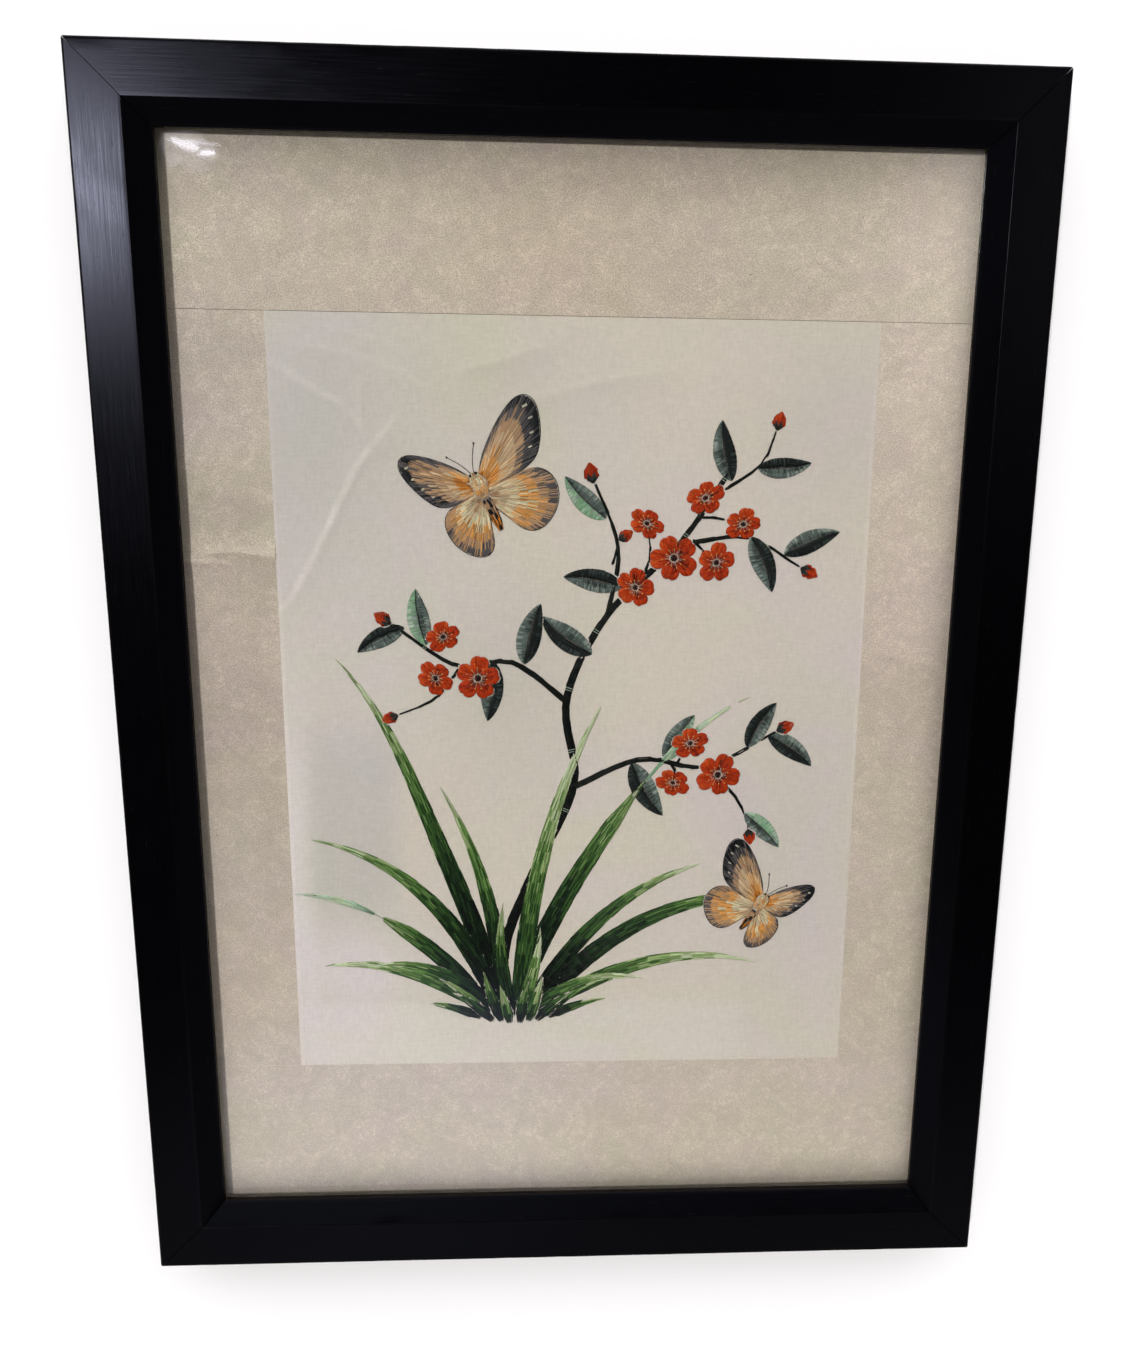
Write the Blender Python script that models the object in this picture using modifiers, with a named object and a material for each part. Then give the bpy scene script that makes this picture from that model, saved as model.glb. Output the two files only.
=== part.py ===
"""Silk embroidery in a black wooden frame, lying on its back with its face up.

Four mitred rails hold a pane of glass, a plain silk panel, the four strips of
figured silk round it and a backing board. Metres, +Z up. The origin is the middle
of the frame's back, +X runs to the picture's right and +Y to its top.
"""

import math

import bmesh
import bpy
from mathutils import Vector

MM = 0.001

# Driving sizes of the frame
FRAME_WIDTH = 420.0 * MM
FRAME_HEIGHT = 576.0 * MM
FRAME_DEPTH = 24.0 * MM
FLAT_WIDTH = 22.4 * MM
SLOPE_WIDTH = 9.4 * MM
SLOPE_DROP = 8.2 * MM
LIP_HEIGHT = 2.5 * MM
RABBET_WIDTH = 6.4 * MM
CORNER_RADIUS = 1.5 * MM

# Rounding of the moulding's edges
OUTER_ARRIS = 1.2 * MM
INNER_ARRIS = 0.6 * MM
LIP_ARRIS = 0.5 * MM
BACK_ARRIS = 0.8 * MM
ARRIS_STEPS = 4

# What lies in the rabbet, from the glass down
PIECE_GAP = 0.3 * MM
RABBET_CLEARANCE = 0.8 * MM
GLASS_THICKNESS = 2.0 * MM
GLASS_TO_SILK = 1.2 * MM
SILK_THICKNESS = 1.0 * MM
BOARD_THICKNESS = 3.2 * MM

# The plain panel in the middle, sewn between four strips of figured silk
PANEL_WIDTH = 275.0 * MM
PANEL_HEIGHT = 367.0 * MM
PANEL_CELLS = (28, 36)
STRIP_CELLS = (5, 36)

# Sizes that follow
MOULDING_WIDTH = FLAT_WIDTH + SLOPE_WIDTH
RABBET_INSET = MOULDING_WIDTH - RABBET_WIDTH
RABBET_TOP = FRAME_DEPTH - SLOPE_DROP - LIP_HEIGHT
GLASS_TOP = RABBET_TOP - PIECE_GAP
SILK_TOP = GLASS_TOP - GLASS_THICKNESS - GLASS_TO_SILK
BOARD_TOP = SILK_TOP - SILK_THICKNESS - PIECE_GAP
FILL_WIDTH = FRAME_WIDTH - 2 * (RABBET_INSET + RABBET_CLEARANCE)
FILL_HEIGHT = FRAME_HEIGHT - 2 * (RABBET_INSET + RABBET_CLEARANCE)

# Creases pressed in the cloth, as ridges that fade out at both ends.
# Each row: first point, second point (x, y from the middle), height, half width
PANEL_CREASES = (
    ((-133, 176), (-103, 132), 0.55, 11),
    ((-103, 132), (-137, 55), 0.70, 12),
    ((-66, 161), (-28, 173), 0.50, 11),
    ((-52, 153), (-10, 158), 0.45, 11),
    ((-130, -112), (40, -103), 0.40, 14),
)
STRIP_CREASES = (
    ((-190, 75), (-139, 77), 0.75, 9),
    ((-190, 118), (-160, 118), 0.40, 9),
)

# Each row: colour (linear red, green, blue), roughness, metallic, transmission
FINISHES = {
    "black_lacquered_wood": ((0.008, 0.008, 0.010), 0.35, 0.0, 0.0),
    "picture_glass": ((0.95, 0.97, 0.96), 0.03, 0.0, 0.9),
    "ivory_plain_silk": ((0.62, 0.57, 0.50), 0.55, 0.0, 0.0),
    "cream_figured_silk": ((0.52, 0.44, 0.34), 0.50, 0.0, 0.0),
    "brown_hardboard": ((0.20, 0.12, 0.07), 0.80, 0.0, 0.0),
}


def clear_scene():
    """Removes every object that is in the scene."""
    for obj in list(bpy.data.objects):
        bpy.data.objects.remove(obj, do_unlink=True)


def new_collection(name):
    """Adds a collection to the scene."""
    collection = bpy.data.collections.new(name)
    bpy.context.scene.collection.children.link(collection)
    return collection


def finish(name):
    """The material of this name, made the first time it is asked for."""
    found = bpy.data.materials.get(name)
    if found:
        return found
    colour, roughness, metallic, transmission = FINISHES[name]
    material = bpy.data.materials.new(name)
    material.use_nodes = True
    shader = material.node_tree.nodes["Principled BSDF"]
    shader.inputs["Base Color"].default_value = (*colour, 1.0)
    shader.inputs["Roughness"].default_value = roughness
    shader.inputs["Metallic"].default_value = metallic
    shader.inputs["Transmission Weight"].default_value = transmission
    return material


def add_object(name, bm, collection, material_name=None):
    """Turns a bmesh into a named object."""
    mesh = bpy.data.meshes.new(name)
    bm.to_mesh(mesh)
    bm.free()
    obj = bpy.data.objects.new(name, mesh)
    collection.objects.link(obj)
    if material_name:
        mesh.materials.append(finish(material_name))
    return obj


def rounded(before, corner, after, radius):
    """Points of the arc that rounds a profile's corner, from one side to the other."""
    corner = Vector(corner)
    side_in = (Vector(before) - corner).normalized()
    side_out = (Vector(after) - corner).normalized()
    half_angle = side_in.angle(side_out) / 2
    middle = (side_in + side_out).normalized()
    centre = corner + middle * (radius / math.sin(half_angle))
    tangent_length = radius / math.tan(half_angle)
    start = (corner + side_in * tangent_length - centre).normalized()
    end = (corner + side_out * tangent_length - centre).normalized()
    return [
        centre + start.slerp(end, step / ARRIS_STEPS) * radius
        for step in range(ARRIS_STEPS + 1)
    ]


def moulding_profile():
    """The moulding's section as (distance in from the outer side, height) points."""
    lip_z = FRAME_DEPTH - SLOPE_DROP
    corners = (
        ((0.0, 0.0), BACK_ARRIS),
        ((0.0, FRAME_DEPTH), OUTER_ARRIS),
        ((FLAT_WIDTH, FRAME_DEPTH), INNER_ARRIS),
        ((MOULDING_WIDTH, lip_z), LIP_ARRIS),
        ((MOULDING_WIDTH, RABBET_TOP), 0.0),
        ((RABBET_INSET, RABBET_TOP), 0.0),
        ((RABBET_INSET, 0.0), 0.0),
    )
    points = []
    for index, (corner, radius) in enumerate(corners):
        before = corners[index - 1][0]
        after = corners[(index + 1) % len(corners)][0]
        if radius:
            points += rounded(before, corner, after, radius)
        else:
            points.append(Vector(corner))
    return points


def add_rail(name, length, outer_middle, turn, collection):
    """One mitred rail. Its section is swept along local X, with +Y facing outwards.

    Each point stops short of the corner by its own distance in from the outer side,
    which makes the 45 degree mitre, and by half of the joint's open line.
    """
    joint = PIECE_GAP / math.sqrt(2)
    bm = bmesh.new()
    section = [bm.verts.new((0.0, -inset, z)) for inset, z in moulding_profile()]
    swept = bmesh.ops.extrude_face_region(bm, geom=[bm.faces.new(section)])
    far_end = {v for v in swept["geom"] if isinstance(v, bmesh.types.BMVert)}
    for vert in bm.verts:
        reach = length / 2 + vert.co.y - joint
        vert.co.x = reach if vert in far_end else -reach
    bmesh.ops.recalc_face_normals(bm, faces=bm.faces)
    rail = add_object(name, bm, collection, "black_lacquered_wood")
    rail.location = outer_middle
    rail.rotation_euler.z = turn
    return rail


def add_corner_template(collection):
    """A block of the frame's outline, whose rounded corners trim the mitred tips."""
    bm = bmesh.new()
    bmesh.ops.create_cube(bm, size=1.0)
    bmesh.ops.scale(bm, vec=(FRAME_WIDTH, FRAME_HEIGHT, 3 * FRAME_DEPTH), verts=bm.verts)
    upright = [e for e in bm.edges if abs(e.verts[0].co.z - e.verts[1].co.z) > FRAME_DEPTH]
    bmesh.ops.bevel(bm, geom=upright, offset=CORNER_RADIUS, segments=4, profile=0.5,
                    affect="EDGES")
    template = add_object("corner_template", bm, collection)
    template.hide_render = True
    template.display_type = "WIRE"
    return template


def round_tips(rail, template):
    """Trims a rail's two sharp tips to the template's corners."""
    trim = rail.modifiers.new("worn_tips", "BOOLEAN")
    trim.operation = "INTERSECT"
    trim.solver = "EXACT"
    trim.object = template


def add_slab(name, low, high, top, thickness, material_name, collection):
    """A flat sheet or board between two (x, y) corners, its upper face at top."""
    bm = bmesh.new()
    bmesh.ops.create_cube(bm, size=1.0)
    size = (high[0] - low[0], high[1] - low[1], thickness)
    middle = ((low[0] + high[0]) / 2, (low[1] + high[1]) / 2, top - thickness / 2)
    bmesh.ops.scale(bm, vec=size, verts=bm.verts)
    slab = add_object(name, bm, collection, material_name)
    slab.location = middle
    return slab


def crease_height(x, y, creases):
    """Height of the cloth above its flat at a point: the tallest crease there.

    A crease is a bell curve across its line, and sinks to nothing at its two ends.
    """
    tallest = 0.0
    point = Vector((x, y))
    for first, second, height, half_width in creases:
        start = Vector(first) * MM
        line = Vector(second) * MM - start
        along = (point - start).dot(line) / line.length_squared
        if not 0.0 < along < 1.0:
            continue
        across = (point - start - line * along).length / (half_width * MM)
        fade = math.sin(math.pi * along) ** 0.5
        tallest = max(tallest, height * MM * fade * math.exp(-across * across))
    return tallest


def add_creased_cloth(name, low, high, cells, creases, material_name, collection):
    """A sheet of cloth with its pressed creases: a grid, raised and then thickened."""
    middle = Vector(((low[0] + high[0]) / 2, (low[1] + high[1]) / 2))
    bm = bmesh.new()
    bmesh.ops.create_grid(bm, x_segments=cells[0], y_segments=cells[1], size=0.5)
    bmesh.ops.scale(bm, vec=(high[0] - low[0], high[1] - low[1], 1.0), verts=bm.verts)
    for vert in bm.verts:
        vert.co.z = crease_height(vert.co.x + middle.x, vert.co.y + middle.y, creases)
    cloth = add_object(name, bm, collection, material_name)
    cloth.location = (middle.x, middle.y, SILK_TOP)
    thicken = cloth.modifiers.new("cloth_thickness", "SOLIDIFY")
    thicken.thickness = SILK_THICKNESS
    thicken.offset = -1.0
    return cloth


def build_frame(collection, cutters):
    """The four mitred rails."""
    template = add_corner_template(cutters)
    quarter = math.pi / 2
    rails = (
        ("frame_rail_top", FRAME_WIDTH, (0.0, FRAME_HEIGHT / 2, 0.0), 0.0),
        ("frame_rail_left", FRAME_HEIGHT, (-FRAME_WIDTH / 2, 0.0, 0.0), quarter),
        ("frame_rail_bottom", FRAME_WIDTH, (0.0, -FRAME_HEIGHT / 2, 0.0), 2 * quarter),
        ("frame_rail_right", FRAME_HEIGHT, (FRAME_WIDTH / 2, 0.0, 0.0), -quarter),
    )
    for name, length, outer_middle, turn in rails:
        rail = add_rail(name, length, outer_middle, turn, collection)
        round_tips(rail, template)


def build_glazing(collection):
    """The glass, held under the rails' lip, and the board that closes the back."""
    low = (-FILL_WIDTH / 2, -FILL_HEIGHT / 2)
    high = (FILL_WIDTH / 2, FILL_HEIGHT / 2)
    add_slab("glass_pane", low, high, GLASS_TOP, GLASS_THICKNESS, "picture_glass", collection)
    add_slab("backing_board", low, high, BOARD_TOP, BOARD_THICKNESS, "brown_hardboard",
             collection)


def build_silk(collection):
    """The plain panel, with the strips of figured silk that border it."""
    half_fill = Vector((FILL_WIDTH / 2, FILL_HEIGHT / 2))
    half_panel = Vector((PANEL_WIDTH / 2, PANEL_HEIGHT / 2))
    seam = half_panel + Vector((PIECE_GAP, PIECE_GAP))
    add_creased_cloth("silk_panel", -half_panel, half_panel, PANEL_CELLS, PANEL_CREASES,
                      "ivory_plain_silk", collection)
    add_creased_cloth("brocade_left", (-half_fill.x, -half_panel.y), (-seam.x, half_panel.y),
                      STRIP_CELLS, STRIP_CREASES, "cream_figured_silk", collection)
    flat_strips = (
        ("brocade_right", (seam.x, -half_panel.y), (half_fill.x, half_panel.y)),
        ("brocade_top", (-half_fill.x, seam.y), (half_fill.x, half_fill.y)),
        ("brocade_bottom", (-half_fill.x, -half_fill.y), (half_fill.x, -seam.y)),
    )
    for name, low, high in flat_strips:
        add_slab(name, low, high, SILK_TOP, SILK_THICKNESS, "cream_figured_silk", collection)


def main():
    """Builds the framed embroidery in an empty scene."""
    clear_scene()
    parts = new_collection("framed_silk_embroidery")
    cutters = new_collection("cutters")
    build_frame(parts, cutters)
    build_glazing(parts)
    build_silk(parts)


main()
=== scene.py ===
"""Looks of a framed silk embroidery that lies on its back with its face up.

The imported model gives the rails, the glass, the cloth and the board. This script lays
the finer pieces over them: lacquered mouldings, creased silks and every stitch of the
picture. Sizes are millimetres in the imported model's frame unless a name says metres.
+X is the picture's right, +Y its top, and +Z points out of its face.
"""

import logging
import math
from collections.abc import Sequence
from dataclasses import dataclass, field
from enum import Enum
from functools import partial

import bpy
import numpy as np
from mathutils import Euler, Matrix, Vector


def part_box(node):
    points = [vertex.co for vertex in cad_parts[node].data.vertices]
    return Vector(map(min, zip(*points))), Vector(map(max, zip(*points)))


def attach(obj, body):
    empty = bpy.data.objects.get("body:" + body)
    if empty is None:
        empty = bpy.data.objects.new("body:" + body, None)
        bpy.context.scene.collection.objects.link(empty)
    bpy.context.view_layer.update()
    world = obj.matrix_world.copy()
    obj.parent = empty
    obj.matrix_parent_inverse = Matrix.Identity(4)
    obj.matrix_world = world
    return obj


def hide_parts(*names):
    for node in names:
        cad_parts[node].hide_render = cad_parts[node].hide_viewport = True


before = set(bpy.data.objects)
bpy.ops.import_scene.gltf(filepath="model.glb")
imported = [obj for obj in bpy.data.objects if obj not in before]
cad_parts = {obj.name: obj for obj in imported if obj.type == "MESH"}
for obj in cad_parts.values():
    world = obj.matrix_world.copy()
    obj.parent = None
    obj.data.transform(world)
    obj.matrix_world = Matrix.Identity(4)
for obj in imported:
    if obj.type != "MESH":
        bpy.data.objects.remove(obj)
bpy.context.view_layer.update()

Array = np.ndarray
Pair = tuple[float, float]
Triple = tuple[float, float, float]
Path = tuple[Pair, ...]
Tree, Node, Socket = bpy.types.NodeTree, bpy.types.Node, bpy.types.NodeSocket
Material, Object = bpy.types.Material, bpy.types.Object
Source = Node | Socket

MM = 0.001
BODY = "root"
LOG = logging.getLogger("embroidery")
# Height in mm of the mounted silk's slow swell, and how round a crease's crest is, as a
# share of its reach
SWELL, TIP = 0.05, 0.16


def linear(hex_colour: str) -> Triple:
    """Turns an sRGB hex colour to linear light.

    Args:
        hex_colour: Six hex digits after a hash sign.

    Returns:
        Linear red, green and blue from 0 to 1.
    """
    coded = [int(hex_colour[i : i + 2], 16) / 255 for i in (1, 3, 5)]
    red, green, blue = (c / 12.92 if c <= 0.04045 else ((c + 0.055) / 1.055) ** 2.4 for c in coded)
    return red, green, blue


def rgba(hex_colour: str) -> tuple[float, float, float, float]:
    """The linear colour with full alpha, as a shader's colour socket takes it."""
    return (*linear(hex_colour), 1.0)


def add_node(tree: Tree, kind: str, inputs: dict[str | int, object] | Sequence[object] = (),
             **settings: object) -> Node:
    """Adds a node with its settings and links.

    Args:
        tree: The nodes that it joins.
        kind: Blender's name of its class, less "ShaderNode", and its operation, if any.
        inputs: Its inputs in order, or by name or number. Each is a value, a socket to
            link, or a node whose first output is linked.
        **settings: Properties of the node itself.

    Returns:
        The new node.
    """
    kind, *operation = kind.split()
    node = tree.nodes.new("ShaderNode" + kind)
    for name, value in (*settings.items(), *zip(("operation",), operation)):
        setattr(node, name, value)
    for key, value in (inputs if isinstance(inputs, dict) else dict(enumerate(inputs))).items():
        source = value.outputs[0] if isinstance(value, Node) else value
        if isinstance(source, Socket):
            tree.links.new(source, node.inputs[key])
        else:
            node.inputs[key].default_value = source
    return node


def add_object(name: str, data: bpy.types.ID) -> Object:
    """Makes an object in the scene.

    Args:
        name: Its name.
        data: Its mesh, lamp or camera.

    Returns:
        The object.
    """
    obj = bpy.data.objects.new(name, data)
    bpy.context.scene.collection.objects.link(obj)
    return obj


def build_mesh(name: str, points: Array, faces: Sequence[Array], uv: Array | None = None,
               tint: Array | None = None) -> Object:
    """Makes a smooth-shaded object from whole arrays of points and faces.

    Args:
        name: The piece's name.
        points: (n, 3) places in millimetres.
        faces: Arrays of shape (count, corners), one for each number of corners.
        uv: (n, 2) texture places of the points, if any.
        tint: (n, 3) linear colours or masks of the points, if any.

    Returns:
        The object, linked to the scene, with its place in its mesh.
    """
    mesh = bpy.data.meshes.new(name)
    corners = np.concatenate([f.ravel() for f in faces]).astype(np.int32)
    counts = np.concatenate([np.full(len(f), f.shape[1]) for f in faces])
    starts = np.concatenate([[0], np.cumsum(counts)[:-1]]).astype(np.int32)
    mesh.vertices.add(len(points))
    mesh.vertices.foreach_set("co", (points * MM).astype(np.float32).ravel())
    mesh.loops.add(len(corners))
    mesh.loops.foreach_set("vertex_index", corners)
    mesh.polygons.add(len(starts))
    mesh.polygons.foreach_set("loop_start", starts)
    mesh.polygons.foreach_set("use_smooth", np.full(len(starts), True))
    mesh.update(calc_edges=True)
    if uv is not None:
        layer = mesh.uv_layers.new(name="run")
        layer.data.foreach_set("uv", uv[corners].astype(np.float32).ravel())
    if tint is not None:
        layer = mesh.color_attributes.new("tint", "FLOAT_COLOR", "POINT")
        full = np.column_stack([tint, np.ones(len(tint))])
        layer.data.foreach_set("color", full.astype(np.float32).ravel())
    mesh.validate()
    return add_object(name, mesh)


def grid_quads(rows: int, columns: int, ring: bool = False) -> Array:
    """Quads of a grid whose point (row, column) is number row * columns + column.

    Args:
        rows, columns: Rows of points, and points in a row.
        ring: Whether each row closes on itself.

    Returns:
        (count, 4) point numbers, turning left from a row to the next.
    """
    number = np.arange(rows * columns).reshape(rows, columns)
    ahead = np.roll(number, -1, axis=1)
    quads = np.stack([number[:-1], ahead[:-1], ahead[1:], number[1:]], axis=-1)
    return (quads if ring else quads[:, :-1]).reshape(-1, 4)


def repeated(patterns: Sequence[Sequence[tuple[int, ...]]], count: int, step: int) -> list[Array]:
    """Faces of a shape that is repeated.

    Args:
        patterns: The shape's quads and its triangles, by their point numbers.
        count: How often it is there.
        step: How many points it has.

    Returns:
        An array of faces for each pattern.
    """
    base = (np.arange(count) * step)[:, None, None]
    return [(base + np.array(one)).reshape(-1, len(one[0])) for one in patterns]


def dress(obj: Object, material: Material) -> None:
    """Gives a piece its material and its ride on the body.

    Args:
        obj: The piece.
        material: Its finish.
    """
    obj.data.materials.clear()
    obj.data.materials.append(material)
    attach(obj, BODY)
    LOG.info("%s: %d points, %d faces", obj.name, len(obj.data.vertices), len(obj.data.polygons))


# Lines and curves in the plane of the cloth


def smooth_line(points: Sequence[Pair], steps: int = 20) -> Array:
    """A smooth curve through given points.

    Formula: between two points, the cubic whose slope at each point is half the step
    from the point before to the point after.

    Args:
        points: (x, y) places, at least two.
        steps: Straight bits in each stretch.

    Returns:
        (n, 2) places along the curve.
    """
    p = np.asarray(points, float)
    p = np.vstack([2 * p[0] - p[1], p, 2 * p[-1] - p[-2]])
    t = np.linspace(0, 1, steps, endpoint=False)[None, :, None]
    a, b, c, d = (p[i : len(p) - 3 + i, None, :] for i in range(4))
    curve = 0.5 * (2 * b + (c - a) * t + (2 * a - 5 * b + 4 * c - d) * t**2
                   + (3 * b - a - 3 * c + d) * t**3)
    return np.vstack([curve.reshape(-1, 2), p[-2]])


def arching_line(root: Pair, heading: float, bend: float, length: float,
                 sway: float = 0.0) -> Array:
    """The middle line of something that grows from a root and leans more and more.

    Formula: the heading, in degrees clockwise from up, is heading + bend * s^1.5 plus a
    slow sway, and the places are its running sum.

    Args:
        root: Where it starts.
        heading: Its first direction.
        bend: How far it turns by its tip.
        length: Its length.
        sway: Degrees of one slow wave on the way.

    Returns:
        (n, 2) places along the line.
    """
    s = np.linspace(0, 1, 120)
    turn = np.radians(heading + bend * s**1.5 + sway * np.sin(2 * math.pi * s))
    step = np.stack([np.sin(turn), np.cos(turn)], axis=1)[:-1] * length / (len(s) - 1)
    return np.asarray(root, float) + np.vstack([[0.0, 0.0], np.cumsum(step, axis=0)])


def length_of(line: Array) -> float:
    """Length of a line through points."""
    return float(np.hypot(*np.diff(line, axis=0).T).sum())


def run_along(line: Array) -> Array:
    """Distance along a line to each of its points."""
    return np.concatenate([[0.0], np.cumsum(np.hypot(*np.diff(line, axis=0).T))])


def point_on(line: Array, share: Array) -> Array:
    """Places at shares from 0 to 1 of a line's length."""
    run = run_along(line)
    return np.stack([np.interp(share, run / run[-1], axis) for axis in line.T], axis=-1)


def to_left(way: Array) -> Array:
    """Unit vectors that point to the left of these directions."""
    length = np.maximum(np.hypot(way[..., 0], way[..., 1]), 1e-9)[..., None]
    return np.stack([-way[..., 1], way[..., 0]], axis=-1) / length


def left_of(line: Array, share: Array) -> Array:
    """Unit vectors that point to the left of a line's direction at these shares."""
    ahead, behind = (point_on(line, np.clip(share + step, 0, 1)) for step in (0.004, -0.004))
    return to_left(ahead - behind)


def turned(points: Array, degrees: float, centre: Pair = (0.0, 0.0)) -> Array:
    """Points round the origin, turned anticlockwise and moved to a centre."""
    cos, sin = math.cos(math.radians(degrees)), math.sin(math.radians(degrees))
    return np.asarray(points, float) @ [[cos, sin], [-sin, cos]] + np.asarray(centre, float)


def inside(points: Array, outline: Array) -> Array:
    """Which points lie inside a closed outline.

    Formula: a point is inside if a ray to its right crosses the outline an odd number
    of times.

    Args:
        points: (n, 2) places.
        outline: (m, 2) places round the outline.

    Returns:
        A truth value for each point.
    """
    hit = np.zeros(len(points), bool)
    low, high = outline.min(axis=0), outline.max(axis=0)
    near = np.flatnonzero(((points >= low) & (points <= high)).all(axis=1))
    x, y = points[near, 0, None], points[near, 1, None]
    x0, y0 = outline.T
    x1, y1 = np.roll(outline, -1, axis=0).T
    spans = (y0 > y) != (y1 > y)
    rise = np.where(y1 == y0, 1e-9, y1 - y0)
    hit[near] = (spans & (x < x0 + (y - y0) * (x1 - x0) / rise)).sum(axis=1) % 2 == 1
    return hit


# The cloth and its folds


@dataclass(frozen=True)
class Crease:
    """A sharp fold once pressed in the cloth, which fades out at both its ends.

    Attributes:
        path: (x, y) points that the fold runs through.
        height, reach: Its height at its middle, and how far to the left and to the right
            the cloth has sunk to a third of that.
        wear_and_sheen, crest: How much lighter its crest is, as a share, partly rubbed
        pale and partly a painted highlight, and half of the lighter crest's width.
        shade, shade_reach: How much painted shade darkens the cloth on its right, as a
        share, and how far that goes until it fades to a third.
    """

    path: Path
    height: float
    reach: Pair
    wear_and_sheen: float = 0.05
    crest: float = 1.5
    shade: float = 0.0
    shade_reach: float = 16.0

    def _near(self, x: Array, y: Array) -> tuple[Array, Array]:
        """How near the fold is.

        Args:
            x, y: Places on the cloth.

        Returns:
            Distance to the path, above 0 on its left, and sqrt(sin(pi * share)), where
            share is how far along the path the nearest point lies.
        """
        line = np.asarray(self.path, float)
        run = run_along(line)
        nearest = np.full(x.shape, np.inf)
        side, share = np.ones(x.shape), np.zeros(x.shape)
        for index, (start, (dx, dy)) in enumerate(zip(line, np.diff(line, axis=0))):
            off_x, off_y = x - start[0], y - start[1]
            span = run[index + 1] - run[index]
            along = ((off_x * dx + off_y * dy) / span**2).clip(0, 1)
            away = np.hypot(off_x - along * dx, off_y - along * dy)
            closer = away < nearest
            nearest = np.where(closer, away, nearest)
            side = np.where(closer, np.sign(dx * off_y - dy * off_x), side)
            share = np.where(closer, (run[index] + along * span) / run[-1], share)
        return nearest * side, np.sqrt(np.sin(math.pi * share).clip(0))

    def rise(self, x: Array, y: Array) -> Array:
        """Height that the fold gives the cloth: height * fade * exp(-rounded distance)."""
        away, fade = self._near(x, y)
        return self.height * fade * np.exp(TIP - np.hypot(away / np.where(away > 0, *self.reach), TIP))

    def tone(self, x: Array, y: Array) -> Array:
        """The fold's colour factor: a crest paler by wear and painted highlight, a side in painted
        shade.

        Args:
            x, y: Places on the cloth.

        Returns:
            1 + fade * (light - dark).
        """
        away, fade = self._near(x, y)
        # The lighter crest is partly wear and partly a painted highlight; the darker side is painted
        # shade
        light = self.wear_and_sheen * np.exp(-((away / self.crest) ** 4))
        light *= 0.8 + 0.2 * np.sin(x / 2.3 + 0.8 * np.sin(y / 5))
        dark = self.shade * (away < 0) * np.exp(-np.abs(away) / self.shade_reach)
        return 1 + fade * (light - dark)


@dataclass(frozen=True)
class Cloud:
    """A soft patch of another tone, aged cloth in some places and painted light in others.

    Some paint the glass's bluish reflection near the panel's foot, one a highlight on
    the left hem, and some paint shade under the top rail and over the panel's upper left.

    Attributes:
        reach: How far along X and Y it has faded to a third.
        tone: Factors on red, green and blue at its middle.
        edge: How sharply it ends, 2 for a soft bell, more for an even patch.
    """

    centre: Pair
    reach: Pair
    tone: Triple
    edge: float = 2.0

    def factor(self, x: Array, y: Array) -> Array:
        """Factors on the colour: 1 + (tone - 1) * exp(-|x|^edge - |y|^edge), in reaches."""
        share = np.abs((np.stack([x, y], axis=-1) - self.centre) / self.reach) ** self.edge
        return 1 + np.exp(-share.sum(axis=-1))[..., None] * (np.array(self.tone) - 1)


PANEL_CREASES = (
    Crease(((-137, 163), (-123.6, 155), (-114.6, 148.6), (-105.9, 145.3), (-99.1, 137.9),
            (-95, 131)), 0.30, (3, 3), wear_and_sheen=0.14, crest=1.4),
    Crease(((-96.7, 158), (-98, 147), (-97.3, 134)), 0.20, (3, 3), wear_and_sheen=0.08, crest=1.2),
    Crease(((-80, 140), (-87.4, 131.6), (-99.3, 117.5), (-112.9, 90.5), (-122.6, 71.3),
            (-131.3, 56.5), (-140, 47)), 0.55, (3.5, 5), wear_and_sheen=0.26, crest=1.5, shade=0.03),
    Crease(((20, -150.5), (-37, -151), (-90, -149.6), (-128, -148.2)), 0.06, (2, 2),
           wear_and_sheen=0, shade=0.05, shade_reach=5),
    Crease(((-114, 178), (-97.8, 175.2), (-86.5, 172), (-72, 166)), 0.25, (3, 3), wear_and_sheen=0.06,
           crest=1.3),
    Crease(((-132, 172), (-109, 168.1), (-94.2, 164.5), (-80.7, 159.6), (-62, 150)), 0.25,
           (3, 3), wear_and_sheen=0.07, crest=1.4),
    Crease(((-56, 158), (-32.6, 164.7), (-21.4, 168.8), (-8, 172)), 0.40, (4, 7), wear_and_sheen=0.05,
           shade=0.07, shade_reach=9),
    Crease(((-34, 146), (-8.4, 151.1), (14, 157), (50, 163)), 0.30, (4, 6), wear_and_sheen=0.07,
           shade=0.05, shade_reach=8),
    Crease(((-136, -112), (-60, -97), (30, -104)), 0.40, (9, 9), wear_and_sheen=0),
    Crease(((60, 176), (96, 150), (120, 148)), 0.25, (8, 8), wear_and_sheen=0.02),
    # Along the left hem the light crest is a painted highlight
    Crease(((-136.8, 225), (-136.8, -225)), 0.03, (1.5, 1.5), wear_and_sheen=0.09, crest=1.1),
    Crease(((136.9, 190), (136.9, 60), (136.9, -60)), 0.02, (1.2, 1.2), wear_and_sheen=0.06, crest=0.6),
)
LEFT_CREASES = (
    Crease(((-207, 75.6), (-182, 73.4), (-168, 72.2), (-158, 72.4)), 0.8, (4, 2.5), wear_and_sheen=0.26,
           crest=1.1, shade=0.03),
    Crease(((-175, 75), (-164, 76.8), (-154, 76.9), (-145, 75.4), (-124, 75.6)), 0.95,
           (6, 3), wear_and_sheen=0.15, crest=4, shade=0.15),
    Crease(((-192, 118.5), (-172, 118), (-158, 118)), 0.45, (4, 4), wear_and_sheen=0.03),
)
RIGHT_CREASES = (
    Crease(((144, 32), (153.9, 30.1), (166.3, 26.7), (180.4, 22.3), (190, 19)), 0.40, (4, 3),
           wear_and_sheen=0.06, crest=1.4, shade=0.06),
)
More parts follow.
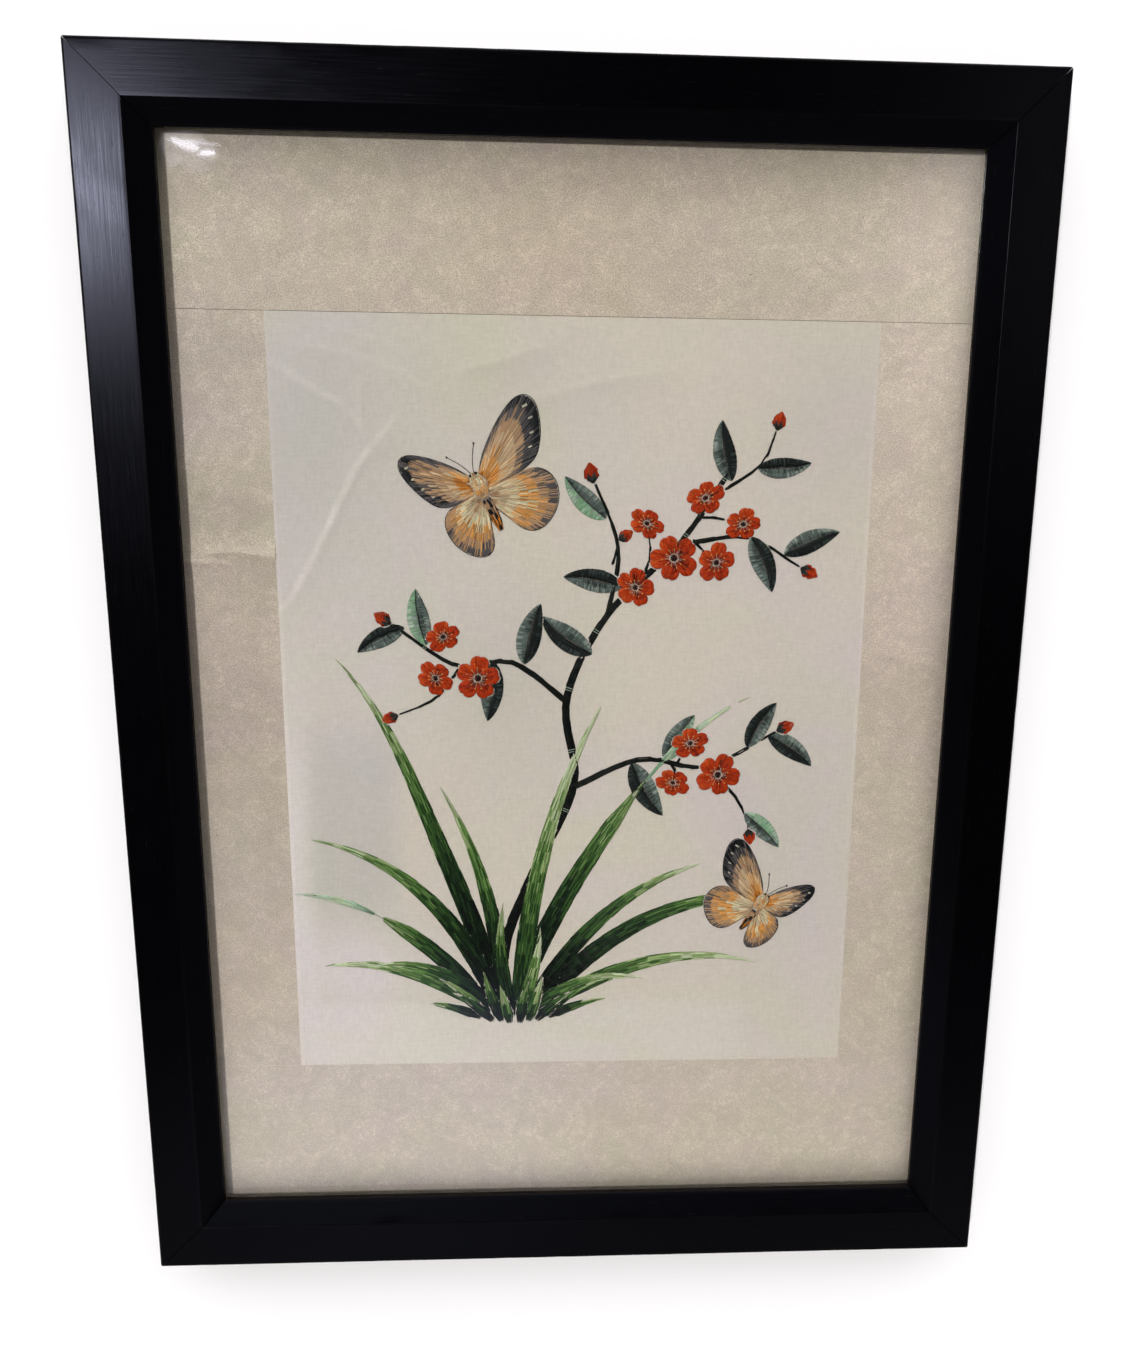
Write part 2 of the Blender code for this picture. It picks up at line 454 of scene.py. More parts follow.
PANEL_CLOUDS = (
    # Painted shade, tinted lilac, over the panel's upper left
    Cloud((-118, 138), (52, 74), (0.84, 0.865, 0.94)),
    Cloud((-107, -57), (22, 52), (0.865, 0.89, 0.95), edge=6),
    Cloud((-30, 15), (34, 50), (0.91, 0.92, 0.94)),
    Cloud((120, 138), (38, 42), (0.93, 0.92, 0.985)),
    # The next three paint the glass's bluish reflection towards the panel's foot
    Cloud((-105, -127), (36, 20), (1.06, 1.07, 1.18)),
    Cloud((-118, -165), (52, 38), (1.05, 1.04, 1.07)),
    Cloud((-25, -190), (112, 40.5), (1.035, 1.05, 1.085), edge=24),
    # The first paints a bluish highlight along the left hem
    Cloud((-135, -72), (8, 80), (1.10, 1.12, 1.26)), Cloud((-100, 30), (50, 60), (1, 1, 1.07)),
    Cloud((-25, 150), (58, 42), (0.94, 0.96, 0.935)),
    Cloud((115, -60), (48, 110), (0.945, 0.935, 1)),
)
STRIP_CLOUDS = (
    Cloud((-160, 14), (40, 62), (0.87, 0.84, 0.88)),
    Cloud((160, 10), (40, 52), (0.985, 0.97, 0.98)),
    # Painted light over the upper right
    Cloud((158, 190), (46, 90), (1.13, 1.12, 1.14)),
    Cloud((-165, -110), (40, 70), (1.02, 1.01, 1.05)),
    Cloud((-10, 215), (60, 40), (1, 0.96, 0.95)),
    Cloud((-158, 168), (30, 14), (0.89, 0.89, 0.92)),
    Cloud((-160, 97), (26, 13), (0.84, 0.84, 0.84)),
    Cloud((-164, 136), (30, 20), (0.95, 0.93, 1.02)),
    Cloud((-158, 36), (30, 18), (1.07, 1.07, 1.07)),
    Cloud((-160, -74), (40, 34), (0.93, 0.935, 0.95)),
    Cloud((160, 70), (30, 56), (1.08, 1.07, 1.09)), Cloud((0, -193), (200, 20), (1.01, 1, 1.07)),
    # Painted shade under the top rail
    Cloud((0, 239), (170, 9), (0.93, 0.93, 0.93)),
)


def cloth_rise(x: Array, y: Array, creases: Sequence[Crease]) -> Array:
    """Height over the flat cloth: the tallest fold, and a swell with crests 47 by 63 mm."""
    swell = SWELL * np.sin(x / 7.5 + 0.7 * np.sin(y / 21)) * np.sin(y / 10 + 0.4)
    return swell + np.max([0 * x, *(crease.rise(x, y) for crease in creases)], axis=0)


@dataclass(frozen=True)
class Sheet:
    """One flat-laid piece of silk.

    Attributes:
        low, high: Its two opposite corners.
        cell: Spacing of its grid along X and Y.
        lift: How much higher it lies than the panel, where it overlaps it.
        hemmed: Whether its left and right edges are folded under, which raises them,
            with two rows of stitching along its foot.
        thickness: Of the silk with the paper that it is mounted on.
        hem_grid: Where the grid's lines lie in from a hemmed edge.
        row_width: Half of the width of a row of stitching.
    """

    name: str
    node: str
    low: Pair
    high: Pair
    creases: tuple[Crease, ...] = ()
    clouds: tuple[Cloud, ...] = ()
    cell: Pair = (2.9, 2.9)
    lift: float = 0.0
    hemmed: bool = False
    thickness: float = 0.6
    hem_width: float = 1.5
    hem_rise: float = 0.10
    hem_grid: tuple[float, ...] = (0.3, 0.7, 1.0, 1.3, 1.6, 2.0, 2.3, 2.6, 2.9, 3.4)
    foot_rows: Pair = (1.3, 2.6)
    foot_rise: float = 0.05
    row_width: float = 0.3
    sharp_degrees: float = 40.0

    def _lines(self, axis: int) -> Array:
        """Places of the grid's lines along an axis, closer together at hemmed edges.

        Args:
            axis: 0 for X, 1 for Y.

        Returns:
            The places in order.
        """
        low, high = self.low[axis], self.high[axis]
        even = np.linspace(low, high, int((high - low) / self.cell[axis]) + 1)
        if not self.hemmed:
            return even
        edge = np.array(self.hem_grid)
        near = (even > low + edge[-1]) | (even == low)
        far = (even < high - edge[-1]) | (even == high)
        return np.sort(np.concatenate([even[near & far], low + edge, high - edge]))

    def build(self, top: float, material: Material, slot: str) -> None:
        """Lays the sheet with its upper face at a height.

        Formula: a grid of (x, y) places whose height is the cloth's rise, with a smooth
        step at each hemmed edge. The same grid lower by the thickness is its back, and a
        band of quads joins their edges. The tone is kept at half, so that it stays
        under 1.

        Args:
            top: Height of the flat cloth's face.
            material: Its finish.
            slot: The record's material slot. It is not used.
        """
        x, y = self._lines(0), self._lines(1)
        gx, gy = np.meshgrid(x, y)
        z = top + self.lift + cloth_rise(gx, gy, self.creases)
        if self.hemmed:
            from_edge = np.minimum(gx - self.low[0], self.high[0] - gx)
            z = z + self.hem_rise * (1 - np.clip(from_edge / self.hem_width - 0.4, 0, 1) ** 2)
            for row in self.foot_rows:
                from_row = (gy - self.low[1] - row) / self.row_width
                z = z + self.foot_rise * np.exp(-(from_row**2))
        # The tone carries the aged patches and the folds' wear, with their painted shade, highlights
        # and reflection
        tone = np.full((*gx.shape, 3), 0.5)
        for cloud in self.clouds:
            tone *= cloud.factor(gx, gy)
        for crease in self.creases:
            tone *= crease.tone(gx, gy)[..., None]
        front = np.stack([gx, gy, z], axis=-1).reshape(-1, 3)
        points = np.vstack([front, front - (0.0, 0.0, self.thickness)])
        number = np.arange(len(front)).reshape(len(y), len(x))
        edge = np.concatenate([number[0, :-1], number[:-1, -1], number[-1, :0:-1],
                               number[:0:-1, 0]])
        after, under = np.roll(edge, -1), len(front)
        quads = grid_quads(len(y), len(x))
        band = np.stack([edge + under, after + under, after, edge], axis=1)
        piece = build_mesh(self.name, points, [quads, quads[:, ::-1] + under, band],
                           uv=points[:, :2] * MM, tint=np.tile(tone.reshape(-1, 3), (2, 1)))
        piece.data.set_sharp_from_angle(angle=math.radians(self.sharp_degrees))
        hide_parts(self.node)
        dress(piece, material)


# Finishes


@dataclass(frozen=True)
class Finish:
    """A material, with the Principled shader's values that are even all over."""

    name: str
    roughness: float
    colour: str = "#ffffff"
    specular: float = 0.5
    sheen: float = 0.0
    sheen_roughness: float = 0.4
    anisotropy: float = 0.0

    @property
    def tree(self) -> Tree:
        """The material's nodes."""
        return bpy.data.materials[self.name].node_tree

    def material(self) -> Material:
        """Makes the material, unless it is there.

        Returns:
            What pieces are given.
        """
        found = bpy.data.materials.get(self.name)
        if found:
            return found
        made = bpy.data.materials.new(self.name)
        made.use_nodes = True
        even = {"Base Color": rgba(self.colour), "Roughness": self.roughness,
                "Specular IOR Level": self.specular, "Sheen Weight": self.sheen,
                "Sheen Roughness": self.sheen_roughness, "Anisotropic": self.anisotropy}
        for name, value in even.items():
            made.node_tree.nodes["Principled BSDF"].inputs[name].default_value = value
        self.wire()
        return made

    def wire(self) -> None:
        """Adds this finish's own nodes. A plain finish has none."""

    def add(self, kind: str, inputs: dict[str | int, object] | Sequence[object] = (),
            **settings: object) -> Node:
        """Adds a node to this material, as add_node does."""
        return add_node(self.tree, kind, inputs, **settings)

    def feed(self, name: str, source: Source) -> None:
        """Links a source to an input of the material's Principled shader."""
        socket = source.outputs[0] if isinstance(source, Node) else source
        self.tree.links.new(socket, self.tree.nodes["Principled BSDF"].inputs[name])

    def noise(self, place: Source, size: float | Triple, low: float = 0.0,
              high: float = 1.0, detail: float = 2.0, span: Pair = (0.36, 0.64),
              **inputs: float) -> Node:
        """A smooth random pattern, brought to a range.

        Args:
            place: The coordinates.
            size: Size of a feature, one number or one for each direction.
            low, high: Values at the two ends of the span, and past them.
            detail: How many finer patterns are added.
            span: The stretch of the noise's own values that is used.
            **inputs: Other inputs of the noise node.

        Returns:
            The node that gives the values.
        """
        scale = 1.0
        if isinstance(size, tuple):
            place = self.add("Mapping", {"Vector": place, "Scale": [1 / (s * MM) for s in size]})
        else:
            scale = 1 / (size * MM)
        named = {name.title(): value for name, value in inputs.items()}
        made = self.add("TexNoise", {"Vector": place, "Scale": scale, "Detail": detail, **named})
        return self.add("MapRange", (made, *span, low, high))

    def layered(self, base: str, *layers: tuple[Source, str]) -> Socket:
        """A colour with others laid over it, each by its own share.

        Args:
            base: The lowest colour in hex.
            *layers: What gives a layer's share, and its colour in hex.

        Returns:
            The colour that results.
        """
        colour: object = rgba(base)
        for share, over in layers:
            mixed = {0: share, 6: colour, 7: rgba(over)}
            colour = self.add("Mix", mixed, data_type="RGBA").outputs[2]
        return colour

    def raised(self, height: Node, depth: float) -> None:
        """Gives the material small relief, with its depth in millimetres."""
        self.feed("Normal", self.add("Bump", {"Height": height, "Distance": depth * MM}))

    def dyed(self, colour: Socket, shade: Node) -> None:
        """Gives cloth its colour, times its threads' shade and the tone of its folds.

        Args:
            colour: The dye.
            shade: The threads' factor, twice as high as it looks, since the tone is halved.
        """
        tone = self.add("Attribute", attribute_name="tint")
        woven = self.add("VectorMath SCALE", {0: colour, 3: shade})
        self.feed("Base Color", self.add("VectorMath MULTIPLY", (woven, tone)))


@dataclass(frozen=True)
class Lacquer(Finish):
    """Black satin lacquer, sprayed over open-grained wood.

    It gives the eye near-black with soft reflections, faint grain lines along the
    rail, hand smudges that dull it in patches, and rubbed brown edges.

    Attributes:
        grain, brush, scuff: Size of a streak along the rail and across it, of the grain,
            of the spraying and of a rub mark. Real pores are half as wide.
        smudge_gloss, brush_gloss: Least and greatest change of the roughness by them.
        scuff_dull, raw_dull: How much rougher a rub mark and the raw back are.
        pores: Least share of the rub's colour that the grain leaves.
    """

    colour: str = "#020203"
    gleam: str = "#dbe1ff"
    rubbed: str = "#0e0c0b"
    bare_wood: str = "#16110e"
    raw_back: str = "#1b1611"
    grain: Triple = (38.0, 0.8, 1000.0)
    brush: Triple = (26.0, 0.8, 1000.0)
    scuff: Triple = (9.0, 0.9, 1000.0)
    smudge_size: float = 45.0
    smudge_gloss: Pair = (-0.012, 0.016)
    brush_gloss: Pair = (-0.018, 0.026)
    scuffed_part: Pair = (0.66, 0.76)
    scuff_dull: float = 0.06
    raw_dull: float = 0.45
    pores: float = 0.1
    grain_depth: float = 0.006

    def wire(self) -> None:
        """Grain from the UV map that runs along the rail, smudges from Object places."""
        run = self.add("UVMap", uv_map="run")
        place = self.add("TexCoord").outputs["Object"]
        masks = self.add("Attribute", attribute_name="tint")
        edge, bare, raw = self.add("SeparateColor", (masks,)).outputs
        grain = self.noise(run, self.grain, detail=5.0, roughness=0.65)
        smudged = (self.roughness + change for change in self.smudge_gloss)
        dull = self.noise(place, self.smudge_size, *smudged, detail=3.0, distortion=0.8)
        brushed = self.noise(run, self.brush, *self.brush_gloss, detail=4.0)
        scuffed = self.noise(run, self.scuff, span=self.scuffed_part)
        rough = self.add("Math ADD", (dull, brushed))
        for mask, more in ((scuffed, self.scuff_dull), (raw, self.raw_dull)):
            rough = self.add("Math MULTIPLY_ADD", (mask, more, rough))
        self.feed("Roughness", rough)
        patchy = self.noise(run, self.grain, self.pores, detail=3.0)
        worn = self.add("Math MAXIMUM", (edge, scuffed))
        worn = self.add("Math MULTIPLY", (worn, patchy))
        layers = (worn, self.rubbed), (bare, self.bare_wood), (raw, self.raw_back)
        self.feed("Base Color", self.layered(self.colour, *layers))
        shader = self.tree.nodes["Principled BSDF"]
        shader.inputs["Specular Tint"].default_value = rgba(self.gleam)
        self.raised(grain, self.grain_depth)


@dataclass(frozen=True)
class PlainSilk(Finish):
    """Plain-woven ivory silk, old and handled.

    It gives the eye a soft even sheen, fine threads both ways with a few thicker ones,
    and large faint patches of lilac and green where the silk has aged. The threads are
    drawn at 0.8 mm, twice as wide as they are, because finer ones would vanish.

    Attributes:
        slub_length: How long a thread stays thick.
        contrast, darkest: How much lighter the lightest thread is, and the darkest one's
            factor, both twice as high as they look.
        patch_size: Size of a lilac patch. A green one's is 0.7 of it.
    """

    colour: str = "#dbccc0"
    lilac: str = "#dacac5"
    green: str = "#d9ccbd"
    thread: float = 0.8
    slub_length: float = 5.0
    thread_range: Pair = (0.3, 0.7)
    contrast: float = 0.17
    darkest: float = 1.84
    patch_size: float = 90.0
    thread_depth: float = 0.02

    def wire(self) -> None:
        """Threads as noise drawn out in both directions, under slow patches."""
        place = self.add("TexCoord").outputs["Object"]
        warp, weft = (self.noise(place, size, span=self.thread_range) for size in
                      ((self.thread, self.slub_length, 1.0), (self.slub_length, self.thread, 1.0)))
        threads = self.add("Math ADD", (warp, weft))
        shade = self.add("Math MULTIPLY_ADD", (threads, self.contrast, self.darkest))
        lilac = self.noise(place, self.patch_size, span=(0.42, 0.66))
        green = self.noise(place, 0.7 * self.patch_size, distortion=1.0, span=(0.45, 0.62))
        aged = self.layered(self.colour, (lilac, self.lilac), (green, self.green))
        self.dyed(aged, shade)
        self.raised(threads, self.thread_depth)


@dataclass(frozen=True)
class FiguredSilk(Finish):
    """Cream damask silk with a small wandering-line figure.

    It gives the eye a warm ground, fine worm-like lines a little lighter than it,
    small glints that are weaker at the foot, faint pink and green patches, a few dark
    specks, and painted shade that darkens it towards the sight edges, where the rails
    shade it. The glints are drawn at 0.6 mm, three threads wide, because single threads
    would vanish.

    Attributes:
        line_band: From where to where a line rises between two of its neighbours.
        motif_size, motif_least: How far apart the figure is strong, and the share of it
            that is left where it is weak.
        mottle: How much lighter the ground is under a strong figure, and its least.
        grain_low, grain_high: Strength of the glints 200 mm below and over the middle.
        patch_size: Size of a pink patch. A green one's is 1.3 of it.
        speck_tone: Factors off a speck and on it, both twice as high as they look.
        gloss: How much rougher the ground is, and how much glossier a line.
        painted_rail_shade: Axis, place of a sight edge on it, how far the painted shade
        goes, and its share.
    """

    colour: str = "#cdbaac"
    figure: str = "#d6c4b4"
    pink: str = "#ccb8ae"
    green: str = "#cbbba9"
    figure_size: float = 2.6
    lines_in_a_figure: float = 4.5
    line_band: Pair = (0.4, 0.8)
    motif_size: float = 11.0
    motif_least: float = 0.35
    mottle: Pair = (0.15, 0.9)
    grain_size: float = 0.58
    grain_low: float = 0.145
    grain_high: float = 0.2
    patch_size: float = 26.0
    speck_size: float = 1.7
    speck_part: Pair = (0.79, 0.83)
    speck_tone: Pair = (2.0, 0.9)
    gloss: Pair = (0.07, -0.14)
    painted_rail_shade: tuple[tuple[str, float, float, float], ...] = (
        ("X", -178.2, 14.0, 0.10), ("X", 178.2, 16.0, 0.24), ("Y", 256.2, 34.0, 0.26),
        ("Y", -256.2, 22.0, 0.52))
    depth: float = 0.04

    def wire(self) -> None:
        """The figure is the level lines of a smooth noise, as on a map of hills."""
        place = self.add("TexCoord").outputs["Object"]
        hills = self.noise(place, self.figure_size, detail=1.0, distortion=0.7, span=(0.0, 1.0))
        levels = self.add("Math MULTIPLY", (hills, self.lines_in_a_figure))
        between = self.add("Math PINGPONG", (levels, 1.0))
        line = self.add("MapRange", (between, *self.line_band), interpolation_type="SMOOTHSTEP")
        motif = self.noise(place, self.motif_size, self.motif_least, distortion=1.2)
        drawn = self.add("Math MULTIPLY", (line, motif))
        pink = self.noise(place, self.patch_size)
        green = self.noise(place, 1.3 * self.patch_size, distortion=0.8)
        layers = (pink, self.pink), (green, self.green), (drawn, self.figure)
        axes = self.add("SeparateXYZ", (place,)).outputs
        grit = self.noise(place, self.grain_size, -1.0, 1.0, detail=1.0, roughness=0.7)
        fresh = self.add("MapRange", (axes["Y"], -0.2, 0.2, self.grain_low, self.grain_high))
        grained = self.add("Math MULTIPLY_ADD", (grit, fresh, 1.0))
        factors = [grained, self.add("Math MULTIPLY_ADD", (motif, *self.mottle))]
        # Painted shade: the cloth darkens towards each sight edge, where the rails shade it
        for axis, edge, reach, loss in self.painted_rail_shade:
            inner = edge - math.copysign(reach, edge)
            near = self.add("MapRange", (axes[axis], inner * MM, edge * MM))
            fall = self.add("Math POWER", (near, 2.0))
            factors.append(self.add("Math MULTIPLY_ADD", (fall, -loss, 1.0)))
        specks = {"span": self.speck_part, "detail": 1.0}
        shade = self.noise(place, self.speck_size, *self.speck_tone, **specks)
        for factor in factors:
            shade = self.add("Math MULTIPLY", (shade, factor))
        self.dyed(self.layered(self.colour, *layers), shade)
        duller, glossier = self.gloss
        rough = (drawn, glossier, self.roughness + duller)
        self.feed("Roughness", self.add("Math MULTIPLY_ADD", rough))
        relief = self.add("Math MULTIPLY_ADD", (grained, 2.0, drawn))
        self.raised(relief, self.depth)


@dataclass(frozen=True)
class Floss(Finish):
    """Flat silk floss, laid in stitches.

    It gives the eye each stitch's own dyed colour, with a bright band of light where
    the stitch lies across the lamp, and fine filaments along it. A filament is drawn
    as a ninth of a stitch, ten times as wide as it is, because finer ones would vanish.

    Attributes:
        filament: Its width as a share of the stitch's.
        light: Factors of the darkest and the lightest filament.
    """

    filament: float = 0.11
    twist_length: float = 3.0
    light: Pair = (0.8, 1.18)
    depth: float = 0.012

    def wire(self) -> None:
        """Dyed colour from the attribute, filaments and gloss from the stitch's UV map."""
        run = self.add("UVMap", uv_map="run")
        dye = self.add("Attribute", attribute_name="tint")
        scale = (1 / self.filament, 1 / self.twist_length, 1.0)
        stretched = self.add("Mapping", {"Vector": run, "Scale": scale})
        strands = self.add("TexNoise", {"Vector": stretched, "Scale": 1.0, "Detail": 2.0})
        shade = self.add("MapRange", (strands, 0.3, 0.7, *self.light))
        colour = self.add("VectorMath SCALE", {0: dye, 3: shade})
        self.feed("Base Color", colour)
        self.feed("Tangent", self.add("Tangent", direction_type="UV_MAP", uv_map="run"))
        self.raised(strands, self.depth)


@dataclass(frozen=True)
class Glass(Finish):
    """Clear 2 mm picture glass, drawn flat.

    It gives the eye a mirror image of the lamps at a few per cent, which wavers a
    little, and lets nearly all the light through.

    Attributes:
        mirrored: Share of the light that it mirrors head on.
        wave_strength: Share of the waves' slope that shows.
    """

    tint: str = "#fbfdfc"
    mirrored: float = 0.04
    wave_size: float = 38.0
    wave_height: float = 0.3
    wave_strength: float = 0.2

    def wire(self) -> None:
        """See-through mixed with a mirror, more of a mirror at a slant.

        Formula: the mirror's share is 0.04 + 0.96 * facing^5, where facing is 0 where
        the glass is met head on and 1 at its edge.
        """
        place = self.add("TexCoord").outputs["Object"]
        wave = self.add("TexNoise", {"Vector": place, "Scale": 1 / (self.wave_size * MM),
                                     "Detail": 3.0, "Distortion": 1.0})
        bump = self.add("Bump", {"Height": wave, "Strength": self.wave_strength,
                                 "Distance": self.wave_height * MM})
        mirror = self.add("BsdfAnisotropic", {"Roughness": self.roughness, "Normal": bump})
        clear = self.add("BsdfTransparent", {"Color": rgba(self.tint)})
        facing = self.add("LayerWeight", {"Blend": 0.5}).outputs["Facing"]
        steep = self.add("Math POWER", (facing, 5.0))
        share = self.add("Math MULTIPLY_ADD", (steep, 1 - self.mirrored, self.mirrored))
        mixed = self.add("MixShader", (share, clear, mirror))
        self.tree.links.new(mixed.outputs[0], self.tree.nodes["Material Output"].inputs["Surface"])
        self.tree.nodes.remove(self.tree.nodes["Principled BSDF"])


@dataclass(frozen=True)
class Hardboard(Finish):
    """Brown hardboard, wood fibre pressed in sheets.

    It gives the eye a matt, mottled brown with short pale fibres.
    """

    colour: str = "#6f4a30"
    fibre: str = "#8d6847"
    fibre_size: float = 2.2
    mottle_size: float = 60.0
    depth: float = 0.06

    def wire(self) -> None:
        """Fibres as a rough noise of a few millimetres over slow mottling."""
        place = self.add("TexCoord").outputs["Object"]
        fibres = self.noise(place, self.fibre_size, detail=6.0, roughness=0.75, distortion=1.5)
        mottle = self.noise(place, self.mottle_size, detail=3.0)
        both = self.add("Math ADD", (fibres, mottle))
        amount = self.add("Math MULTIPLY", (both, 0.5))
        self.feed("Base Color", self.layered(self.colour, (amount, self.fibre)))
        self.raised(fibres, self.depth)


LACQUER = Lacquer("black_satin_lacquer_on_wood", roughness=0.208, specular=0.058)
PLAIN_SILK = PlainSilk("ivory_plain_woven_silk", roughness=0.5, specular=0.3, sheen=0.1)
FIGURED_SILK = FiguredSilk("cream_damask_silk", roughness=0.48, specular=0.3, sheen=0.1)
FLOSS = Floss("dyed_silk_floss", roughness=0.38, specular=0.14, anisotropy=0.7)
GLASS = Glass("clear_picture_glass", roughness=0.028)
HARDBOARD = Hardboard("brown_hardboard_sheet", roughness=0.85)
# Matt and even, so that the eye sees only where the piece lies
FLOOR = Finish("white_painted_floor", roughness=0.9, colour="#fefefe")


# The frame


@dataclass(frozen=True)
class Moulding:
    """The lacquered moulding and the frame that is cut from it.

    Attributes:
        flat, slope: Widths of the face's flat outer part and of the part that falls to
            the sight edge.
        drop, lip: How far the slope falls, and the height of the upright sight edge.
        rabbet: How far the lip reaches over the glass.
        radii, rubbed: Radius of each corner of the section, and how much its lacquer is
            rubbed, from the back's outer one round.
        tip: Radius of the worn corner tips.
        joint: Half of the open line at a mitre.
        spacing, end_spacing: Distance between the sections along a rail, and where the
            closer ones lie in from its ends.
    """

    half: Pair = (210.0, 288.0)
    depth: float = 24.0
    flat: float = 22.4
    slope: float = 9.4
    drop: float = 8.2
    lip: float = 2.5
    rabbet: float = 6.4
    radii: tuple[float, ...] = (0.8, 1.2, 0.6, 0.5, 0.15, 0.0, 0.15)
    rubbed: tuple[float, ...] = (0.2, 0.7, 0.4, 0.6, 0.0, 0.0, 0.0)
    tip: float = 1.5
    joint: float = 0.14
    spacing: float = 2.5
    end_spacing: tuple[float, ...] = (0.4, 0.9, 1.5, 2.4)
    dents: int = 9
    dent_size: Pair = (2.0, 6.0)
    dent_depth: Pair = (0.03, 0.14)
    sharp_degrees: float = 38.0

    def section(self) -> tuple[Array, Array]:
        """The moulding's section.

        Formula: each corner of a seven-sided outline is an arc that touches both of its
        sides, of seven points, or of two up to 0.3 mm. A side over 3 mm has points about
        5 mm apart, and one near each end. Wood is bare within 0.3 mm of the sight edge,
        and raw along the back and under the lip.

        Returns:
            (n, 2) points as distance in from the outer side and height, and (n, 3)
            masks: rubbed edge, bare wood, raw back.
        """
        width, lip_top = self.flat + self.slope, self.depth - self.drop
        foot, inner = lip_top - self.lip, width - self.rabbet
        corners = np.array([(0, 0), (0, self.depth), (self.flat, self.depth), (width, lip_top),
                            (width, foot), (inner, foot), (inner, 0)])
        points, masks = [], []
        around = zip(np.roll(corners, 1, axis=0), corners, np.roll(corners, -1, axis=0),
                     self.radii, self.rubbed)
        for before, corner, after, radius, rub in around:
            arc = corner[None, :]
            if radius:
                ways = [(v - corner) / np.hypot(*(v - corner)) for v in (before, after)]
                half_angle = math.acos(ways[0] @ ways[1]) / 2
                middle = (ways[0] + ways[1]) / np.hypot(*(ways[0] + ways[1]))
                centre = corner + middle * radius / math.sin(half_angle)
                reach, sweep = radius / math.tan(half_angle), math.pi - 2 * half_angle
                start, end = (corner + way * reach - centre for way in ways)
                t = np.linspace(0, 1, 7 if radius > 0.3 else 2)[:, None]
                bow = np.sin((1 - t) * sweep) * start + np.sin(t * sweep) * end
                arc = centre + bow / math.sin(sweep)
            side = after - arc[-1]
            span = np.hypot(*side)
            t = np.array([0.5])
            if span > 3:
                between = np.arange(1, span // 5) / (span // 5 + 0.4)
                t = np.concatenate([[0.45 / span], between, [1 - 1.75 / span]])
            points += [arc, arc[-1] + side * t[:, None]]
            masks += [np.tile([rub, 0.0, 0.0], (len(arc), 1)), np.zeros((len(t), 3))]
        outline, mask = np.vstack(points), np.vstack(masks)
        in_from, height = outline.T
        mask[:, 1] = np.where((in_from > width - 0.3) & (height < lip_top), 0.8, 0.0)
        under_lip = (in_from > self.flat) & (in_from < width) & (height < foot + 0.1)
        mask[:, 2] = np.where((height < 0.5) | under_lip, 1.0, 0.0)
        return outline, mask

    def rail(self, side: str, length: float, outer: float, turn: float, seed: int) -> None:
        """One mitred rail.

        Formula: the section is carried along the rail and stops short of each end by
        its own distance in from the outer side, which cuts the mitre. A slow wobble of
        two sines, 107 and 40 mm from crest to crest, and a few dents, bells 1.6 mm wide
        across the rail, are taken out of the rounded edges. A point past the corner
        tip's circle is drawn back to it. The UV map is elsewhere on each rail.

        Args:
            side: Which side of the frame it is.
            length: Length along the outer side.
            outer: Distance of the outer side from the frame's middle.
            turn: Degrees anticlockwise from the top rail.
            seed: Which dents it has.
        """
        section, mask = self.section()
        inset, height = section.T
        end = np.array(self.end_spacing) / length * 2
        even = np.linspace(-1, 1, int(length / self.spacing))
        share = np.sort(np.concatenate([even, -1 + end, 1 - end]))
        x = share[:, None] * (length / 2 - inset - self.joint * math.sqrt(2))
        rng = np.random.default_rng(seed)
        dents = np.zeros_like(x)
        for _ in range(self.dents):
            place, size = rng.uniform(-0.95, 0.95) * length / 2, rng.uniform(*self.dent_size)
            near = np.exp(-((inset - rng.choice([0.0, self.flat])) / 1.6) ** 2)
            dents += rng.uniform(*self.dent_depth) * np.exp(-((x - place) / size) ** 2) * near
        wobble = 0.03 * np.sin(x / 17 + seed) + 0.02 * np.sin(x / 6.3 + 2 * seed)
        shave = mask[:, 0] * (dents + wobble.clip(0))
        away = section - (self.flat / 2, self.depth / 2)
        away /= np.hypot(*away.T)[:, None]
        in_from, z = inset - away[:, 0] * shave, height - away[:, 1] * shave
        placed = turned(np.stack([x, outer - in_from], axis=-1).reshape(-1, 2), turn)
        core = np.array(self.half) - self.tip
        over = np.abs(placed) - core
        far = np.hypot(*over.T)
        past = (over > 0).all(axis=1) & (far > self.tip)
        pulled = np.sign(placed) * (core + over * (self.tip / np.maximum(far, 1e-9))[:, None])
        placed = np.where(past[:, None], pulled, placed)
        walls = grid_quads(*x.shape, ring=True)[:, ::-1]
        cap = np.arange(len(section))[None, :]
        uv = np.stack([x + 40 * seed, np.broadcast_to(run_along(section) + 60 * seed, x.shape)],
                      axis=-1)
        piece = build_mesh(f"lacquered_rail_{side}", np.column_stack([placed, z.ravel()]),
                           [walls, cap, x.size - len(section) + cap[:, ::-1]],
                           uv=uv.reshape(-1, 2) * MM, tint=np.tile(mask, (len(x), 1)))
        piece.data.set_sharp_from_angle(angle=math.radians(self.sharp_degrees))
        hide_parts(f"frame_rail_{side}")
        dress(piece, LACQUER.material())

    def build(self) -> None:
        """The four rails."""
        for seed, (side, turn) in enumerate(zip(("top", "left", "bottom", "right"),
                                                (0.0, 90.0, 180.0, -90.0)), start=1):
            ends, away = self.half if seed % 2 else self.half[::-1]
            self.rail(side, 2 * ends, away, turn, seed)


# Stitching


